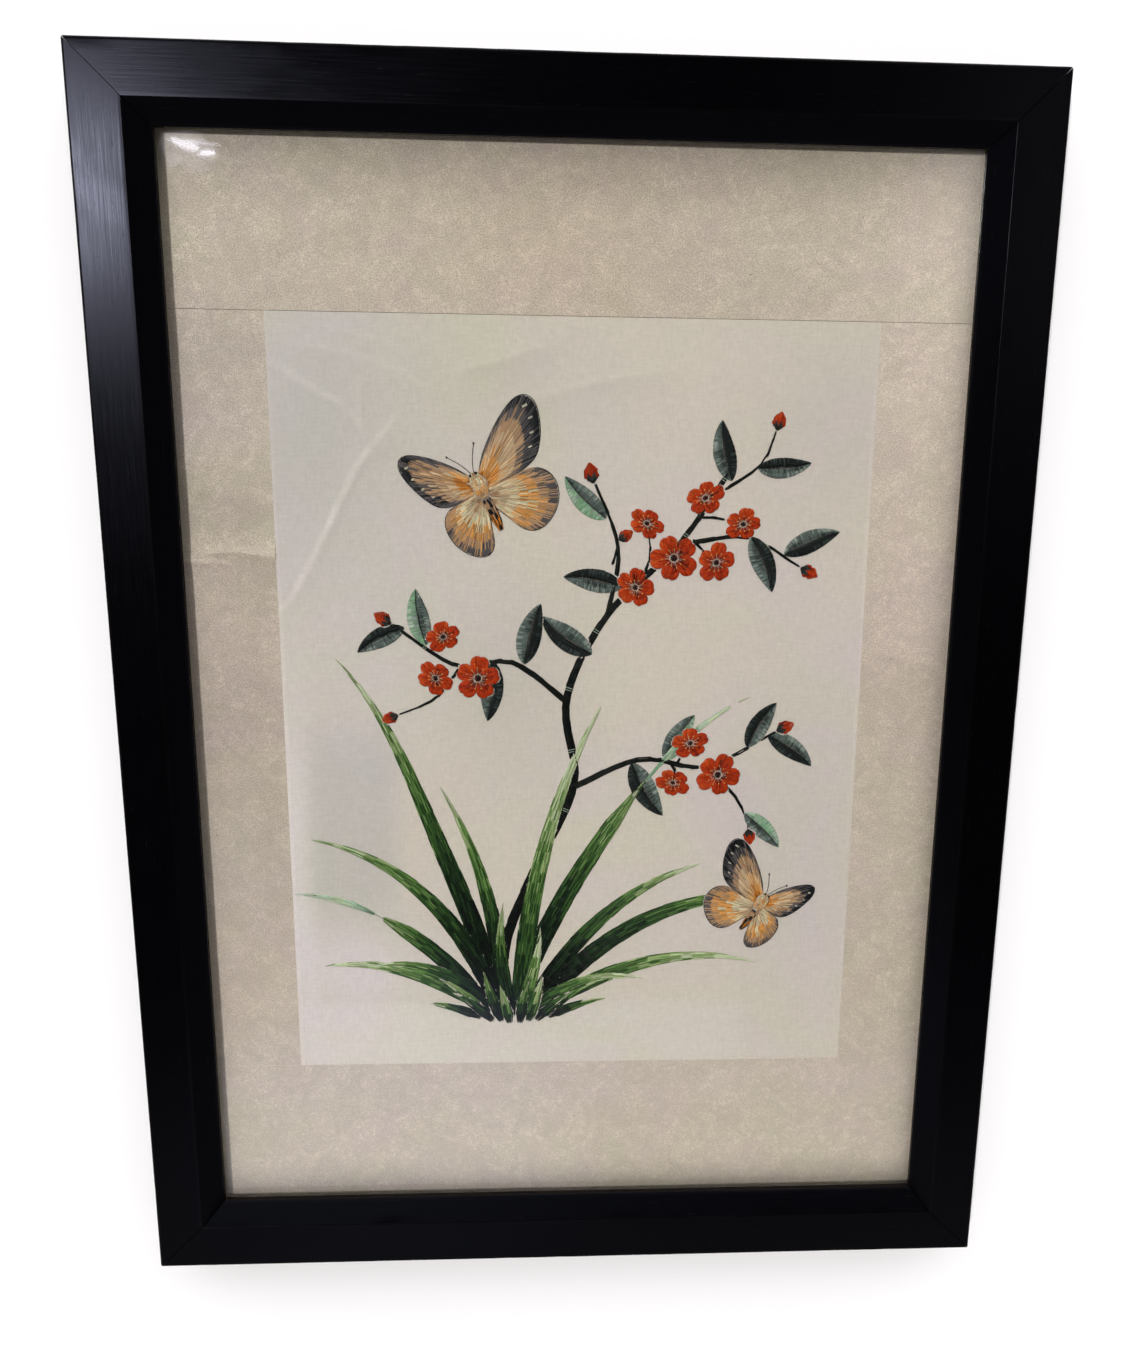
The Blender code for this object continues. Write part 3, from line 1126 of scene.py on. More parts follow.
class Shade(Enum):
    """The dyed colours of the floss."""

    NIGHT = "#070c08"
    PINE = "#112211"
    MOSS = "#21381a"
    FERN = "#3a5928"
    LEAF = "#638144"
    SPROUT = "#97a772"
    PALE_LEAF = "#c5cca8"
    SLATE_DARK = "#141918"
    SLATE = "#363e3b"
    SLATE_MID = "#5d6661"
    SLATE_LIGHT = "#8f978f"
    SAGE = "#86a886"
    SAGE_LIGHT = "#b3c2ae"
    BARK = "#0e100b"
    BARK_LIGHT = "#34352a"
    EMBER = "#5e1206"
    FLAME = "#952404"
    ORANGE = "#b63506"
    CORAL = "#c94f1a"
    AMBER = "#c47624"
    APRICOT = "#da9a56"
    TAN = "#b48d6b"
    SAND = "#ceb08e"
    CREAM = "#dccfae"
    CHALK = "#e6e0d2"
    STONE = "#5b5455"
    SOOT = "#17161a"


GRASS = (Shade.NIGHT, Shade.NIGHT, Shade.PINE, Shade.MOSS, Shade.FERN, Shade.LEAF, Shade.SPROUT,
         Shade.PALE_LEAF)
YOUNG_GRASS = (Shade.PINE, Shade.MOSS, Shade.FERN, Shade.LEAF, Shade.SPROUT, Shade.PALE_LEAF,
               Shade.PALE_LEAF)
GRASS_BACK = (Shade.SAGE, Shade.SAGE_LIGHT, Shade.PALE_LEAF)
LEAF_LIGHT_HALF = (Shade.SLATE, Shade.SLATE_MID, Shade.SLATE_LIGHT)
LEAF_DARK_HALF = (Shade.SLATE_DARK, Shade.SLATE_DARK, Shade.SLATE)
SAGE_HALF = (Shade.SLATE_LIGHT, Shade.SAGE, Shade.SAGE_LIGHT)
PETAL = (Shade.EMBER, Shade.FLAME, Shade.ORANGE, Shade.ORANGE)
PETAL_LIT = (Shade.FLAME, Shade.ORANGE, Shade.ORANGE, Shade.CORAL)
WOOD = (Shade.BARK, Shade.NIGHT, Shade.BARK)
FOREWING = (Shade.AMBER, Shade.APRICOT, Shade.SAND, Shade.TAN, Shade.STONE, Shade.SOOT)
HINDWING = (Shade.TAN, Shade.SAND, Shade.CREAM, Shade.APRICOT, Shade.TAN, Shade.STONE)
TAIL = (Shade.STONE, Shade.SOOT, Shade.TAN, Shade.SOOT, Shade.AMBER, Shade.SOOT)
CHEST = (Shade.TAN, Shade.SAND, Shade.APRICOT, Shade.SAND, Shade.CREAM, Shade.TAN)
# Length in mm of a row of stitches in a stem or a blade
ROW = 5.5


class Outline(Enum):
    """How the width of something long runs from its root to its tip."""

    BLADE = "narrow foot, widest at a third, long point"
    OVAL = "rounded foot, widest before the middle, short point"
    STEM = "even, thinner towards the tip"
    SPINDLE = "thick middle, blunt ends"

    def width(self, share: Array) -> Array:
        """Share of the full width at shares of the length.

        Formula: a sine of a power of the share, which moves its peak towards the root,
        and for a stem a straight taper.

        Args:
            share: How far along, from 0 to 1.

        Returns:
            The widths, from 0 to about 1.
        """
        s = np.clip(share, 0, 1)
        if self is Outline.BLADE:
            return 0.34 * (1 - s) ** 4 + np.sin(math.pi * s**0.58).clip(0) ** 0.85
        if self is Outline.OVAL:
            return np.sin(math.pi * s**0.82).clip(0) ** 0.72
        if self is Outline.STEM:
            return 1.0 - 0.62 * s
        return np.sin(math.pi * (0.06 + 0.88 * s)).clip(0) ** 0.6


class Patch:
    """A part of the picture that is filled in one go.

    It maps two shares to a place on the cloth: how far along the stitches' direction,
    and how far across them.
    """

    def at(self, along: Array, across: Array) -> Array:
        """Places on the cloth at the two shares, as an array with a last axis of (x, y)."""
        raise NotImplementedError

    def row_length(self, along: float) -> float:
        """Length of the line across the stitches at a share of the way along."""
        return length_of(self.at(np.full(24, along), np.linspace(0, 1, 24)))

    def outline(self) -> Array:
        """The patch's edge.

        Returns:
            A closed loop, 40 places to each of its four sides.
        """
        t, zero, one = np.linspace(0, 1, 40), np.zeros(40), np.ones(40)
        sides = (zero, t), (t, one), (one, t[::-1]), (t[::-1], zero)
        return np.vstack([self.at(along, across) for along, across in sides])


@dataclass
class Ribbon(Patch):
    """A long patch whose stitches follow its middle line.

    Attributes:
        line: (n, 2) places of its middle line.
        width, shape: Its greatest width, and how that runs.
        part: The stretch of the line that this patch covers.
        neck: Share of the line where it turns over and is narrow, if it does.
    """

    line: Array
    width: float
    shape: Outline
    part: Pair = (0.0, 1.0)
    neck: float | None = None

    def at(self, along: Array, across: Array) -> Array:
        """Places in the ribbon.

        Formula: middle line + left * (across - 1/2) * width there.

        Args:
            along, across: The two shares.

        Returns:
            Places, with (x, y) in the last axis.
        """
        share = self.part[0] + along * (self.part[1] - self.part[0])
        width = self.width * self.shape.width(share)
        if self.neck is not None:
            width = width * np.minimum(np.sqrt(((share - self.neck) / 0.13) ** 2 + 0.03), 1.0)
        offset = (across - 0.5) * width
        return point_on(self.line, share) + left_of(self.line, share) * offset[..., None]


@dataclass
class Ruled(Patch):
    """A patch whose stitches run from an inner line to an outer line.

    Attributes:
        inner, outer: (n, 2) places of the two lines.
        bow: How far the middle of a stitch row is pushed to its left.
    """

    inner: Array
    outer: Array
    bow: float = 0.0

    def at(self, along: Array, across: Array) -> Array:
        """Formula: inner + (outer - inner) * s + left * bow * 4s(1 - s), s the share along.

        Args:
            along: Shares along the stitches.
            across: Shares along the two lines.

        Returns:
            Their places.
        """
        start, end = point_on(self.inner, across), point_on(self.outer, across)
        return (start + (end - start) * along[..., None]
                + to_left(end - start) * (self.bow * 4 * along * (1 - along))[..., None])


class Group(Enum):
    """The pieces that the stitching is kept in."""

    STEMS = "stitched_stems"
    BLADES = "stitched_grass_blades"
    LEAVES = "stitched_leaves"
    BLOSSOMS = "stitched_blossoms"
    BUTTERFLIES = "stitched_butterflies"


@dataclass
class Needlework:
    """All stitches and knots, kept as arrays until they become meshes.

    A stitch is a closed spindle of eight points: a tip at each end, and near each tip
    a left, a top and a right point.

    Attributes:
        cloth_top: Height of the flat cloth's face.
        rows: Thirteen numbers for each stitch: start, end, the widths there, lift,
            relief, colour, where on the thread it lies, and which group it belongs to.
        knots: Rows of place, size, lift and colour.
        shortest: What is left of a cut stitch, at least.
        inset: Share of a stitch that each of its tips takes.
    """

    cloth_top: float
    seed: int = 7
    rows: list[Array] = field(default_factory=list)
    knots: dict[Group, list[Array]] = field(default_factory=dict)
    shortest: float = 0.8
    inset: float = 0.14

    def __post_init__(self) -> None:
        """Starts the random source."""
        self.rng = np.random.default_rng(self.seed)

    def lay(self, group: Group, start: Array, end: Array, widths: Sequence[float],
            lift: Array | float, relief: float, colour: Array) -> None:
        """Keeps a batch of stitches.

        Args:
            group: The piece that they belong to.
            start, end: (n, 2) places.
            widths: Their widths at the start and at the end.
            lift: Their height over the cloth.
            relief: How far their tops stand over their sides.
            colour: (n, 3) linear colours.
        """
        count = len(start)
        even = [np.broadcast_to(value, count) for value in (*widths, lift, relief)]
        offset, index = self.rng.uniform(0, 50, count), np.full(count, list(Group).index(group))
        self.rows.append(np.column_stack([start, end, *even, colour, offset, index]))

    def clear(self, patch: Patch) -> None:
        """Cuts what was stitched before back to this patch's edge, as a maker stops there.

        Formula: of 17 places along each stitch near the patch, those inside its outline
        are found. A stitch that is nearly all inside goes. One with an end inside is
        cut at the first place that isn't, and goes if too little is left.

        Args:
            patch: What is stitched next.
        """
        outline = patch.outline()
        low, high = outline.min(axis=0), outline.max(axis=0)
        share = np.linspace(0, 1, 17)
        for index, rows in enumerate(self.rows):
            start, way = rows[:, 0:2], rows[:, 2:4] - rows[:, 0:2]
            ends = np.stack([start, start + way])
            near = ((ends.min(axis=0) <= high) & (ends.max(axis=0) >= low)).all(axis=1)
            picked = np.flatnonzero(near)
            if not len(picked):
                continue
            places = start[picked, None] + way[picked, None] * share[:, None]
            hit = inside(places.reshape(-1, 2), outline).reshape(len(picked), -1)
            out = ~hit
            begin = np.where(hit[:, 0], share[out.argmax(axis=1)], 0.0)
            finish = np.where(hit[:, -1], 1 - share[out[:, ::-1].argmax(axis=1)], 1.0)
            rows[picked, 0:2] = start[picked] + way[picked] * begin[:, None]
            rows[picked, 2:4] = rows[picked, 0:2] + way[picked] * (finish - begin)[:, None]
            left = np.hypot(*way[picked].T) * (finish - begin)
            gone = (out.mean(axis=1) < 0.15) | ((finish - begin < 0.9) & (left < self.shortest))
            keep = np.ones(len(rows), bool)
            keep[picked[gone]] = False
            self.rows[index] = rows[keep]

    def fill(self, group: Group, patch: Patch, shades: Sequence[Shade], rows: int,
             pitch: float = 0.5, ragged: float = 0.9, lift: float = 0.08, dome: float = 0.16,
             relief: float = 0.16, overlap: float = 0.42, cover: float = 1.5,
             sparse_tip: float = 0.0, hide: bool = True) -> None:
        """Fills a patch with long and short stitches.

        Formula: row k of n covers the shares k/n to (k+1)/n, lengthened at both ends by
        a random part of the overlap. A stitch's shade is the one at its middle's share
        of the list, moved by a random amount. Each stitch is a little lighter or darker,
        and so is each pair, because one thread is too fine to be told apart.

        Args:
            group, patch: The piece that the stitches belong to, and where they go.
            shades, rows: Their colours from the patch's start to its end, and how many
                rows they lie in.
            pitch: Distance between neighbouring stitches.
            ragged: How far the colours interlock, in shades.
            lift, dome: Their height over the cloth at the patch's sides, and how much
                higher they lie along its middle.
            relief: How far a stitch's top stands over its sides.
            overlap: Greatest share of a row by which a stitch is lengthened.
            cover: Stitch width as a multiple of the pitch.
            sparse_tip: Share of the stitches left out in the last row.
            hide: Whether what lies under is taken out first.
        """
        if hide:
            self.clear(patch)
        palette = np.array([linear(s.value) for s in shades])
        for row in range(rows):
            low, high = row / rows, (row + 1) / rows
            count = max(int(patch.row_length((low + high) / 2) / pitch), 2)
            across = (np.arange(count) + 0.5 + self.rng.uniform(-0.28, 0.28, count)) / count
            step = overlap / rows
            begin = low - self.rng.uniform(0.25 * step, step, count) if row else self.rng.uniform(
                0, 0.12 * step, count)
            finish = (high + self.rng.uniform(0.25 * step, step, count) if row < rows - 1
                      else 1 - self.rng.uniform(0, 0.2 * step, count))
            begin, finish = begin.clip(0, 1), finish.clip(0, 1)
            if sparse_tip and row >= rows - 2:
                kept = self.rng.random(count) > sparse_tip * (0.5 if row == rows - 2 else 1.0)
                across, begin, finish = across[kept], begin[kept], finish[kept]
            count = len(across)
            if not count:
                continue
            wave = 0.35 * np.sin(across * 9 + row * 2.1 + self.rng.uniform(0, 6))
            tone = (begin + finish) / 2 * (len(palette) - 1) + wave
            tone += self.rng.uniform(-0.5, 0.5, count) * ragged
            index = np.rint(tone).astype(int).clip(0, len(palette) - 1)
            strand = self.rng.normal(1.0, 0.10, count // 2 + 1)[np.arange(count) // 2]
            light = (strand * self.rng.normal(1.0, 0.10, count)).clip(0.66, 1.4)
            colour = palette[index] * light[:, None]
            wide = [cover * patch.row_length(float(s)) / max(count, 1) for s in
                    (max(low - step / 2, 0.0), min(high + step / 2, 1.0))]
            height = lift + dome * (1 - (2 * across - 1) ** 2) + 0.015 * self.rng.random(count)
            self.lay(group, patch.at(begin, across), patch.at(finish, across),
                     np.clip(wide, 0.55 * pitch, 1.7 * pitch), height, relief, colour)

    def line(self, group: Group, line: Array, shade: Shade, width: float,
             stitch: float = 2.6, lift: float = 0.25, relief: float = 0.12) -> None:
        """Outlines with back stitches that overlap a little along a line.

        Args:
            group, line: The piece that the stitches belong to, and (n, 2) places.
            shade, width, stitch: The thread's colour and width, and a stitch's length.
            lift, relief: Height over the cloth, and of its top over its sides.
        """
        count = max(int(length_of(line) / stitch), 1)
        share = np.arange(count) / count
        start, end = point_on(line, share), point_on(line, (share + 1.25 / count).clip(0, 1))
        colour = np.array(linear(shade.value)) * self.rng.normal(1.0, 0.05, count)[:, None]
        self.lay(group, start, end, (width, width), lift, relief, colour)

    def knot(self, group: Group, places: Array, shade: Shade, size: float,
             lift: float = 0.2) -> None:
        """Sets small round knots at these places."""
        rows = [(*place, size, lift, *linear(shade.value)) for place in places]
        self.knots.setdefault(group, []).append(np.array(rows))

    def _floor(self, places: Array) -> Array:
        """Height of the panel's face at places on it."""
        return self.cloth_top + cloth_rise(places[:, 0], places[:, 1], PANEL_CREASES)

    def _spindles(self, rows: Array) -> tuple[Array, list[Array], Array, Array]:
        """Turns stitches to a mesh.

        Args:
            rows: A row for each.

        Returns:
            Points, faces, UVs and colours.
        """
        start, end = rows[:, 0:2], rows[:, 2:4]
        lift, relief, colour, offset = rows[:, 6], rows[:, 7], rows[:, 8:11], rows[:, 11]
        length = np.maximum(np.hypot(*(end - start).T), 0.05)
        way = (end - start) / length[:, None]
        side = np.stack([way[:, 1], -way[:, 0]], axis=1)
        rings = []
        for share, width in ((self.inset, rows[:, 4]), (1 - self.inset, rows[:, 5])):
            centre = start + (end - start) * share
            low, half = self._floor(centre) + lift, side * (width / 2)[:, None]
            rings += [np.column_stack([centre - half, low]),
                      np.column_stack([centre, low + relief]),
                      np.column_stack([centre + half, low])]
        tips = [np.column_stack([tip, self._floor(tip) + 0.4 * lift]) for tip in (start, end)]
        points = np.stack([tips[0], *rings, tips[1]], axis=1).reshape(-1, 3)
        quads = ((1, 2, 5, 4), (2, 3, 6, 5), (3, 1, 4, 6))
        fans = ((0, 2, 1), (0, 3, 2), (0, 1, 3), (7, 4, 5), (7, 5, 6), (7, 6, 4))
        across = np.broadcast_to([0.5, 0.0, 0.5, 1.0, 0.0, 0.5, 1.0, 0.5], (len(rows), 8))
        reach = np.repeat([0, self.inset, 1 - self.inset, 1], [1, 3, 3, 1])
        along = offset[:, None] + reach * length[:, None]
        uv = np.stack([across + offset[:, None] * 3, along], axis=-1).reshape(-1, 2)
        return points, repeated((quads, fans), len(rows), 8), uv, np.repeat(colour, 8, axis=0)

    def _balls(self, rows: Array) -> tuple[Array, list[Array], Array, Array]:
        """Turns knots to a mesh.

        Formula: a squashed globe with six meridians and two parallels between its
        poles.

        Args:
            rows: A row for each.

        Returns:
            Points, faces, UVs and colours.
        """
        angle = np.arange(6) * math.pi / 3
        ring = np.stack([np.cos(angle), np.sin(angle)], axis=1)
        shape = np.vstack([[(0, 0, -0.5)], np.column_stack([ring * 0.5, np.full(6, -0.2)]),
                           np.column_stack([ring * 0.45, np.full(6, 0.25)]), [(0, 0, 0.5)]])
        height = self._floor(rows) + rows[:, 3] + 0.25 * rows[:, 2]
        centre = np.column_stack([rows[:, 0:2], height])[:, None, :]
        points = (centre + shape * rows[:, 2, None, None] * (1, 1, 0.7)).reshape(-1, 3)
        quads = [(1 + k, 1 + (k + 1) % 6, 7 + (k + 1) % 6, 7 + k) for k in range(6)]
        fans = [(0, b, a) for a, b, _, _ in quads] + [(13, d, c) for _, _, c, d in quads]
        uv, tint = np.tile(shape[:, :2], (len(rows), 1)), np.repeat(rows[:, 4:7], 14, axis=0)
        return points, repeated((quads, fans), len(rows), 14), uv, tint

    def finish(self) -> None:
        """Makes one piece of each group, its knots after its stitches."""
        rows = np.vstack(self.rows)
        for index, group in enumerate(Group):
            points, faces, uv, tint = self._spindles(rows[rows[:, 12] == index])
            if group in self.knots:
                more, balls, *rest = self._balls(np.vstack(self.knots[group]))
                faces += [ball + len(points) for ball in balls]
                both = zip((points, uv, tint), (more, *rest))
                points, uv, tint = (np.vstack(pair) for pair in both)
            piece = build_mesh(group.value, points, faces, uv=uv, tint=tint)
            dress(piece, FLOSS.material())


@dataclass(frozen=True)
class Stem:
    """A woody stem or twig, stitched along its line.

    Attributes:
        path: (x, y) points that it runs through.
        width: Its width at its root.
        band_spacing: Distance between the pairs of pale stitches across a thick one.
    """

    path: Path
    width: float
    band_spacing: float = 31.0

    def stitch(self, work: Needlework) -> None:
        """Rows of short stitches along it, with a few lighter ones on one side.

        Args:
            work: What keeps the stitches.
        """
        line = smooth_line(self.path)
        ribbon = Ribbon(line, self.width, Outline.STEM)
        length = length_of(line)
        rows = max(int(length / ROW), 2)
        work.fill(Group.STEMS, ribbon, WOOD, rows, lift=0.06, dome=0.2, hide=False)
        if self.width < 2.2:
            return
        share = np.linspace(0.02, 0.96, 80)
        out = 0.22 * self.width * (1 - 0.6 * share)
        edge = point_on(line, share) + left_of(line, share) * out[:, None]
        work.line(Group.STEMS, edge, Shade.BARK_LIGHT, 0.26, stitch=3.4, lift=0.24)
        for place in np.arange(2.5 * self.band_spacing, length - 6, self.band_spacing):
            for step in (-0.55, 0.55):
                across = ribbon.at(np.full(2, (place + step) / length), np.array([-0.1, 1.1]))
                work.line(Group.STEMS, across, Shade.SAGE_LIGHT, 0.3, stitch=9.0, lift=0.36)


@dataclass(frozen=True)
class Blade:
    """A long grass-like leaf that arches over.

    Attributes:
        heading: First direction in degrees clockwise from up.
        bend: How far it turns by its tip.
        sway: Degrees of one slow wave on the way.
        neck: Share of its length where it turns over, if it does.
        young: Whether it is of the lighter greens.
    """

    root: Pair
    heading: float
    bend: float
    length: float
    width: float
    sway: float = 0.0
    neck: float | None = None
    young: bool = False

    def stitch(self, work: Needlework) -> None:
        """Stitches from its dark foot to its pale tip, sage where its back shows.

        Args:
            work: What keeps the stitches.
        """
        line = arching_line(self.root, self.heading, self.bend, self.length, self.sway)
        shades = YOUNG_GRASS if self.young else GRASS
        stretches = [((0.0, 1.0), shades)]
        if self.neck is not None:
            stretches = [((0.0, self.neck), shades[:-1]), ((self.neck, 1.0), GRASS_BACK)]
        for part, colours in stretches:
            ribbon = Ribbon(line, self.width, Outline.BLADE, part, self.neck)
            rows = max(int((part[1] - part[0]) * self.length / ROW), 2)
            work.fill(Group.BLADES, ribbon, colours, rows, ragged=2.2, dome=0.14, sparse_tip=0.35)
        share = np.linspace(0.06, 0.92, 90)
        rib = point_on(line, share)
        work.line(Group.BLADES, rib, Shade.MOSS if self.young else Shade.PINE, 0.16, stitch=7.0,
                  lift=0.22, relief=0.06)


@dataclass(frozen=True)
class OvalLeaf:
    """A pointed oval leaf in two halves, one light and one dark."""

    root: Pair
    heading: float
    length: float
    width: float
    bend: float = 18.0
    light_left: bool = True
    sage: bool = False

    def stitch(self, work: Needlework) -> None:
        """Stitches slant from the midrib to the edge, nearer the tip, in each half.

        Formula: the stitch that starts at share t of the midrib ends at share
        t + 0.17 sin(pi t) of the leaf's edge.

        Args:
            work: What keeps the stitches.
        """
        line = arching_line(self.root, self.heading, self.bend, self.length)
        t = np.linspace(0, 1, 80)
        lean = t + 0.17 * np.sin(math.pi * t)
        rib = point_on(line, t)
        for side in (1.0, -1.0):
            reach = side * 0.5 * self.width * Outline.OVAL.width(lean)
            edge = point_on(line, lean) + left_of(line, lean) * reach[:, None]
            light = (side > 0) == self.light_left
            shades = LEAF_LIGHT_HALF if light else LEAF_DARK_HALF
            if self.sage:
                shades = SAGE_HALF if light else LEAF_LIGHT_HALF
            half = Ruled(rib, edge)
            work.fill(Group.LEAVES, half, shades, 2, pitch=0.48, ragged=1.1, dome=0.10, lift=0.10)
        work.line(Group.LEAVES, line, Shade.NIGHT, 0.34, stitch=3.0, lift=0.24)


@dataclass(frozen=True)
class Blossom:
    """An open flower of five notched petals, seen from the front or at a slant.

    Attributes:
        turn: Degrees that it is turned.
        slant: Height over width, under 1 where it is seen from the side.
        slant_turn: Direction in degrees in which it is foreshortened.
    """

    centre: Pair
    radius: float
    turn: float = 0.0
    slant: float = 1.0
    slant_turn: float = 0.0
    stamens: int = 11

    def _placed(self, angle: Array, radius: Array) -> Array:
        """Places at angles in radians and radii, foreshortened."""
        flat = np.stack([np.cos(angle) * radius, np.sin(angle) * radius], axis=-1)
        return turned(turned(flat, -self.slant_turn) * (1.0, self.slant), self.slant_turn, self.centre)

    def stitch(self, work: Needlework) -> None:
        """Petals from the rim inwards, a dark heart, then stamens with pale knots.

        Formula: a petal's rim is at radius * (0.55 + 0.45 (1 - |a|^2.6)^0.6) less a
        notch, where a runs from -1 to 1 across the petal.

        Args:
            work: What keeps the stitches.
        """
        a = np.linspace(-1, 1, 60)
        half_petal = math.radians(34.5)
        for petal in range(5):
            middle = math.radians(self.turn + 72 * petal)
            grow = 1 + 0.05 * math.sin(3.1 * petal + self.turn)
            rim = (0.55 + 0.45 * (1 - np.abs(a) ** 2.6).clip(0) ** 0.6) * grow
            rim = rim - 0.05 * np.exp(-((a / 0.16) ** 2))
            outer = self._placed(middle + a * half_petal, self.radius * rim)
            inner = self._placed(middle + a * half_petal, np.full(60, 0.13 * self.radius))
            shades = PETAL_LIT if petal in (1, 2) else PETAL
            work.fill(Group.BLOSSOMS, Ruled(inner, outer, bow=0.25), shades, 3, ragged=2.0,
                      lift=0.12, dome=0.2)
        heart = np.linspace(0, 2 * math.pi, 40)
        disc = Ruled(self._placed(heart, np.full(40, 0.01)),
                     self._placed(heart, np.full(40, 0.17 * self.radius)))
        work.fill(Group.BLOSSOMS, disc, (Shade.SOOT, Shade.EMBER), 1, pitch=0.3, lift=0.22,
                  dome=0.0)
        angles = np.radians(self.turn + 17) + np.arange(self.stamens) * 2 * math.pi / self.stamens
        lengths = self.radius * work.rng.uniform(0.34, 0.5, self.stamens)
        roots = self._placed(angles, np.full(self.stamens, 0.1 * self.radius))
        tips = self._placed(angles, lengths)
        for stamen in np.stack([roots, tips], axis=1):
            work.line(Group.BLOSSOMS, stamen, Shade.SAND, 0.22, stitch=3.0, lift=0.36, relief=0.08)
        heart_size = 0.12 * self.radius
        work.knot(Group.BLOSSOMS, tips, Shade.APRICOT, 0.78, lift=0.26)
        work.knot(Group.BLOSSOMS, np.array([self.centre]), Shade.SOOT, heart_size, lift=0.26)


@dataclass(frozen=True)
class Bud:
    """A closed flower bud in its green cup."""

    root: Pair
    heading: float
    size: float

    def stitch(self, work: Needlework) -> None:
        """One oval of reds with a lit side, and two small sepals over its foot.

        Args:
            work: What keeps the stitches.
        """
        line = arching_line(self.root, self.heading, 6.0, self.size)
        bud = Ribbon(line, 0.78 * self.size, Outline.OVAL)
        work.fill(Group.BLOSSOMS, bud, (Shade.EMBER, Shade.FLAME, Shade.ORANGE, Shade.CORAL), 3,
                  pitch=0.4, lift=0.12, dome=0.25)
        for lean in (-26.0, 26.0):
            sepal = arching_line(self.root, self.heading + lean, -lean * 0.8, 0.55 * self.size)
            work.fill(Group.LEAVES, Ribbon(sepal, 0.34 * self.size, Outline.OVAL),
                      (Shade.SLATE_DARK, Shade.SLATE), 2, pitch=0.36, lift=0.36, dome=0.1,
                      cover=1.8, hide=False)


@dataclass(frozen=True)
class Butterfly:
    """A butterfly seen from above, its wings more or less open.

    Attributes:
        turn: Degrees anticlockwise that its head is turned from up.
        left_open, right_open: How wide each pair of wings is spread, up to 1.
    """

    centre: Pair
    turn: float
    scale: float
    left_open: float = 1.0
    right_open: float = 1.0

    FORE_EDGE = ((2.2, 8.6), (8, 15.5), (18, 23.5), (28, 28.5), (34, 28), (36, 23), (34, 15.5),
                 (30.5, 9), (25, 3.6), (15, 1.8), (3.5, 2.4))
    FORE_ROOT = ((1.2, 8.0), (1.8, 5.0), (1.2, 2.0))
    HIND_EDGE = ((3.5, 2.0), (15, 1.6), (24, 0.4), (28.5, -5), (28, -12.5), (23, -19),
                 (15.5, -22.5), (9, -20.5), (4.6, -12), (1.8, -6))
    HIND_ROOT = ((1.2, 2.4), (1.6, -1.0), (1.0, -4.5))
    SPOTS = ((31.6, 24.2, 1.5), (31.4, 19.0, 1.3), (29.2, 13.6, 1.2), (26.0, 8.8, 1.1))

    def _placed(self, points: Sequence[Pair] | Array, side: float) -> Array:
        """Wing points with this side's spread, turned and moved to the butterfly."""
        flat = np.array(points) * (side * (self.right_open if side > 0 else self.left_open), 1.0)
        return turned(flat * self.scale, self.turn, self.centre)

    def stitch(self, work: Needlework) -> None:
        """Hind wings, fore wings over them, then veins, spots, body and feelers.

        Args:
            work: What keeps the stitches.
        """
        group = Group.BUTTERFLIES
        along = np.linspace(0.16, 0.95, 12)
        for side in (-1.0, 1.0):
            for root, edge, shades in ((self.HIND_ROOT, self.HIND_EDGE, HINDWING),
                                       (self.FORE_ROOT, self.FORE_EDGE, FOREWING)):
                outer = self._placed(smooth_line(edge), side)
                wing = Ruled(self._placed(smooth_line(root), side), outer)
                work.fill(group, wing, shades, 7, ragged=1.5, lift=0.10, dome=0.12)
                for across in np.linspace(0.1, 0.9, 8):
                    vein = wing.at(along, np.full(12, across))
                    work.line(group, vein, Shade.STONE, 0.2, stitch=5.0, lift=0.27, relief=0.07)
                scallop = outer[len(outer) // 5 :]
                work.line(group, scallop, Shade.SOOT, 0.34, stitch=2.4, lift=0.2)
            for x, y, size in self.SPOTS:
                spot = self._placed([(x - size, y), (x + size, y)], side)
                oval = Ribbon(spot, 1.3 * size * self.scale, Outline.SPINDLE)
                work.fill(group, oval, (Shade.CHALK, Shade.CREAM), 1, pitch=0.3, lift=0.26,
                          dome=0.05, hide=False)
        for path, width, shades, rows, ragged, lift, dome in (
                (((0, 2), (0, -6), (-0.4, -16)), 4.2, TAIL, 7, 1.2, 0.3, 0.22),
                (((0, -1.5), (0.1, 4.5), (0, 10.5)), 6.2, CHEST, 8, 2.6, 0.34, 0.3)):
            line = self._placed(smooth_line(path), 1.0)
            work.fill(group, Ribbon(line, width * self.scale, Outline.SPINDLE), shades, rows,
                      pitch=0.42, ragged=ragged, lift=lift, dome=dome)
        eyes = np.array([(-1.3, 9.6), (1.3, 9.6)]) * self.scale
        work.knot(group, turned(eyes, self.turn, self.centre), Shade.SOOT, 1.3 * self.scale,
                  lift=0.45)
        for side in (-1.0, 1.0):
            feeler = smooth_line(((0.6 * side, 10.2), (2.6 * side, 15), (6.2 * side, 20.5)))
            feeler = turned(feeler * self.scale, self.turn, self.centre)
            work.line(group, feeler, Shade.SOOT, 0.32, stitch=2.2, lift=0.12)
            work.knot(group, feeler[-1:], Shade.SOOT, 1.0, lift=0.1)


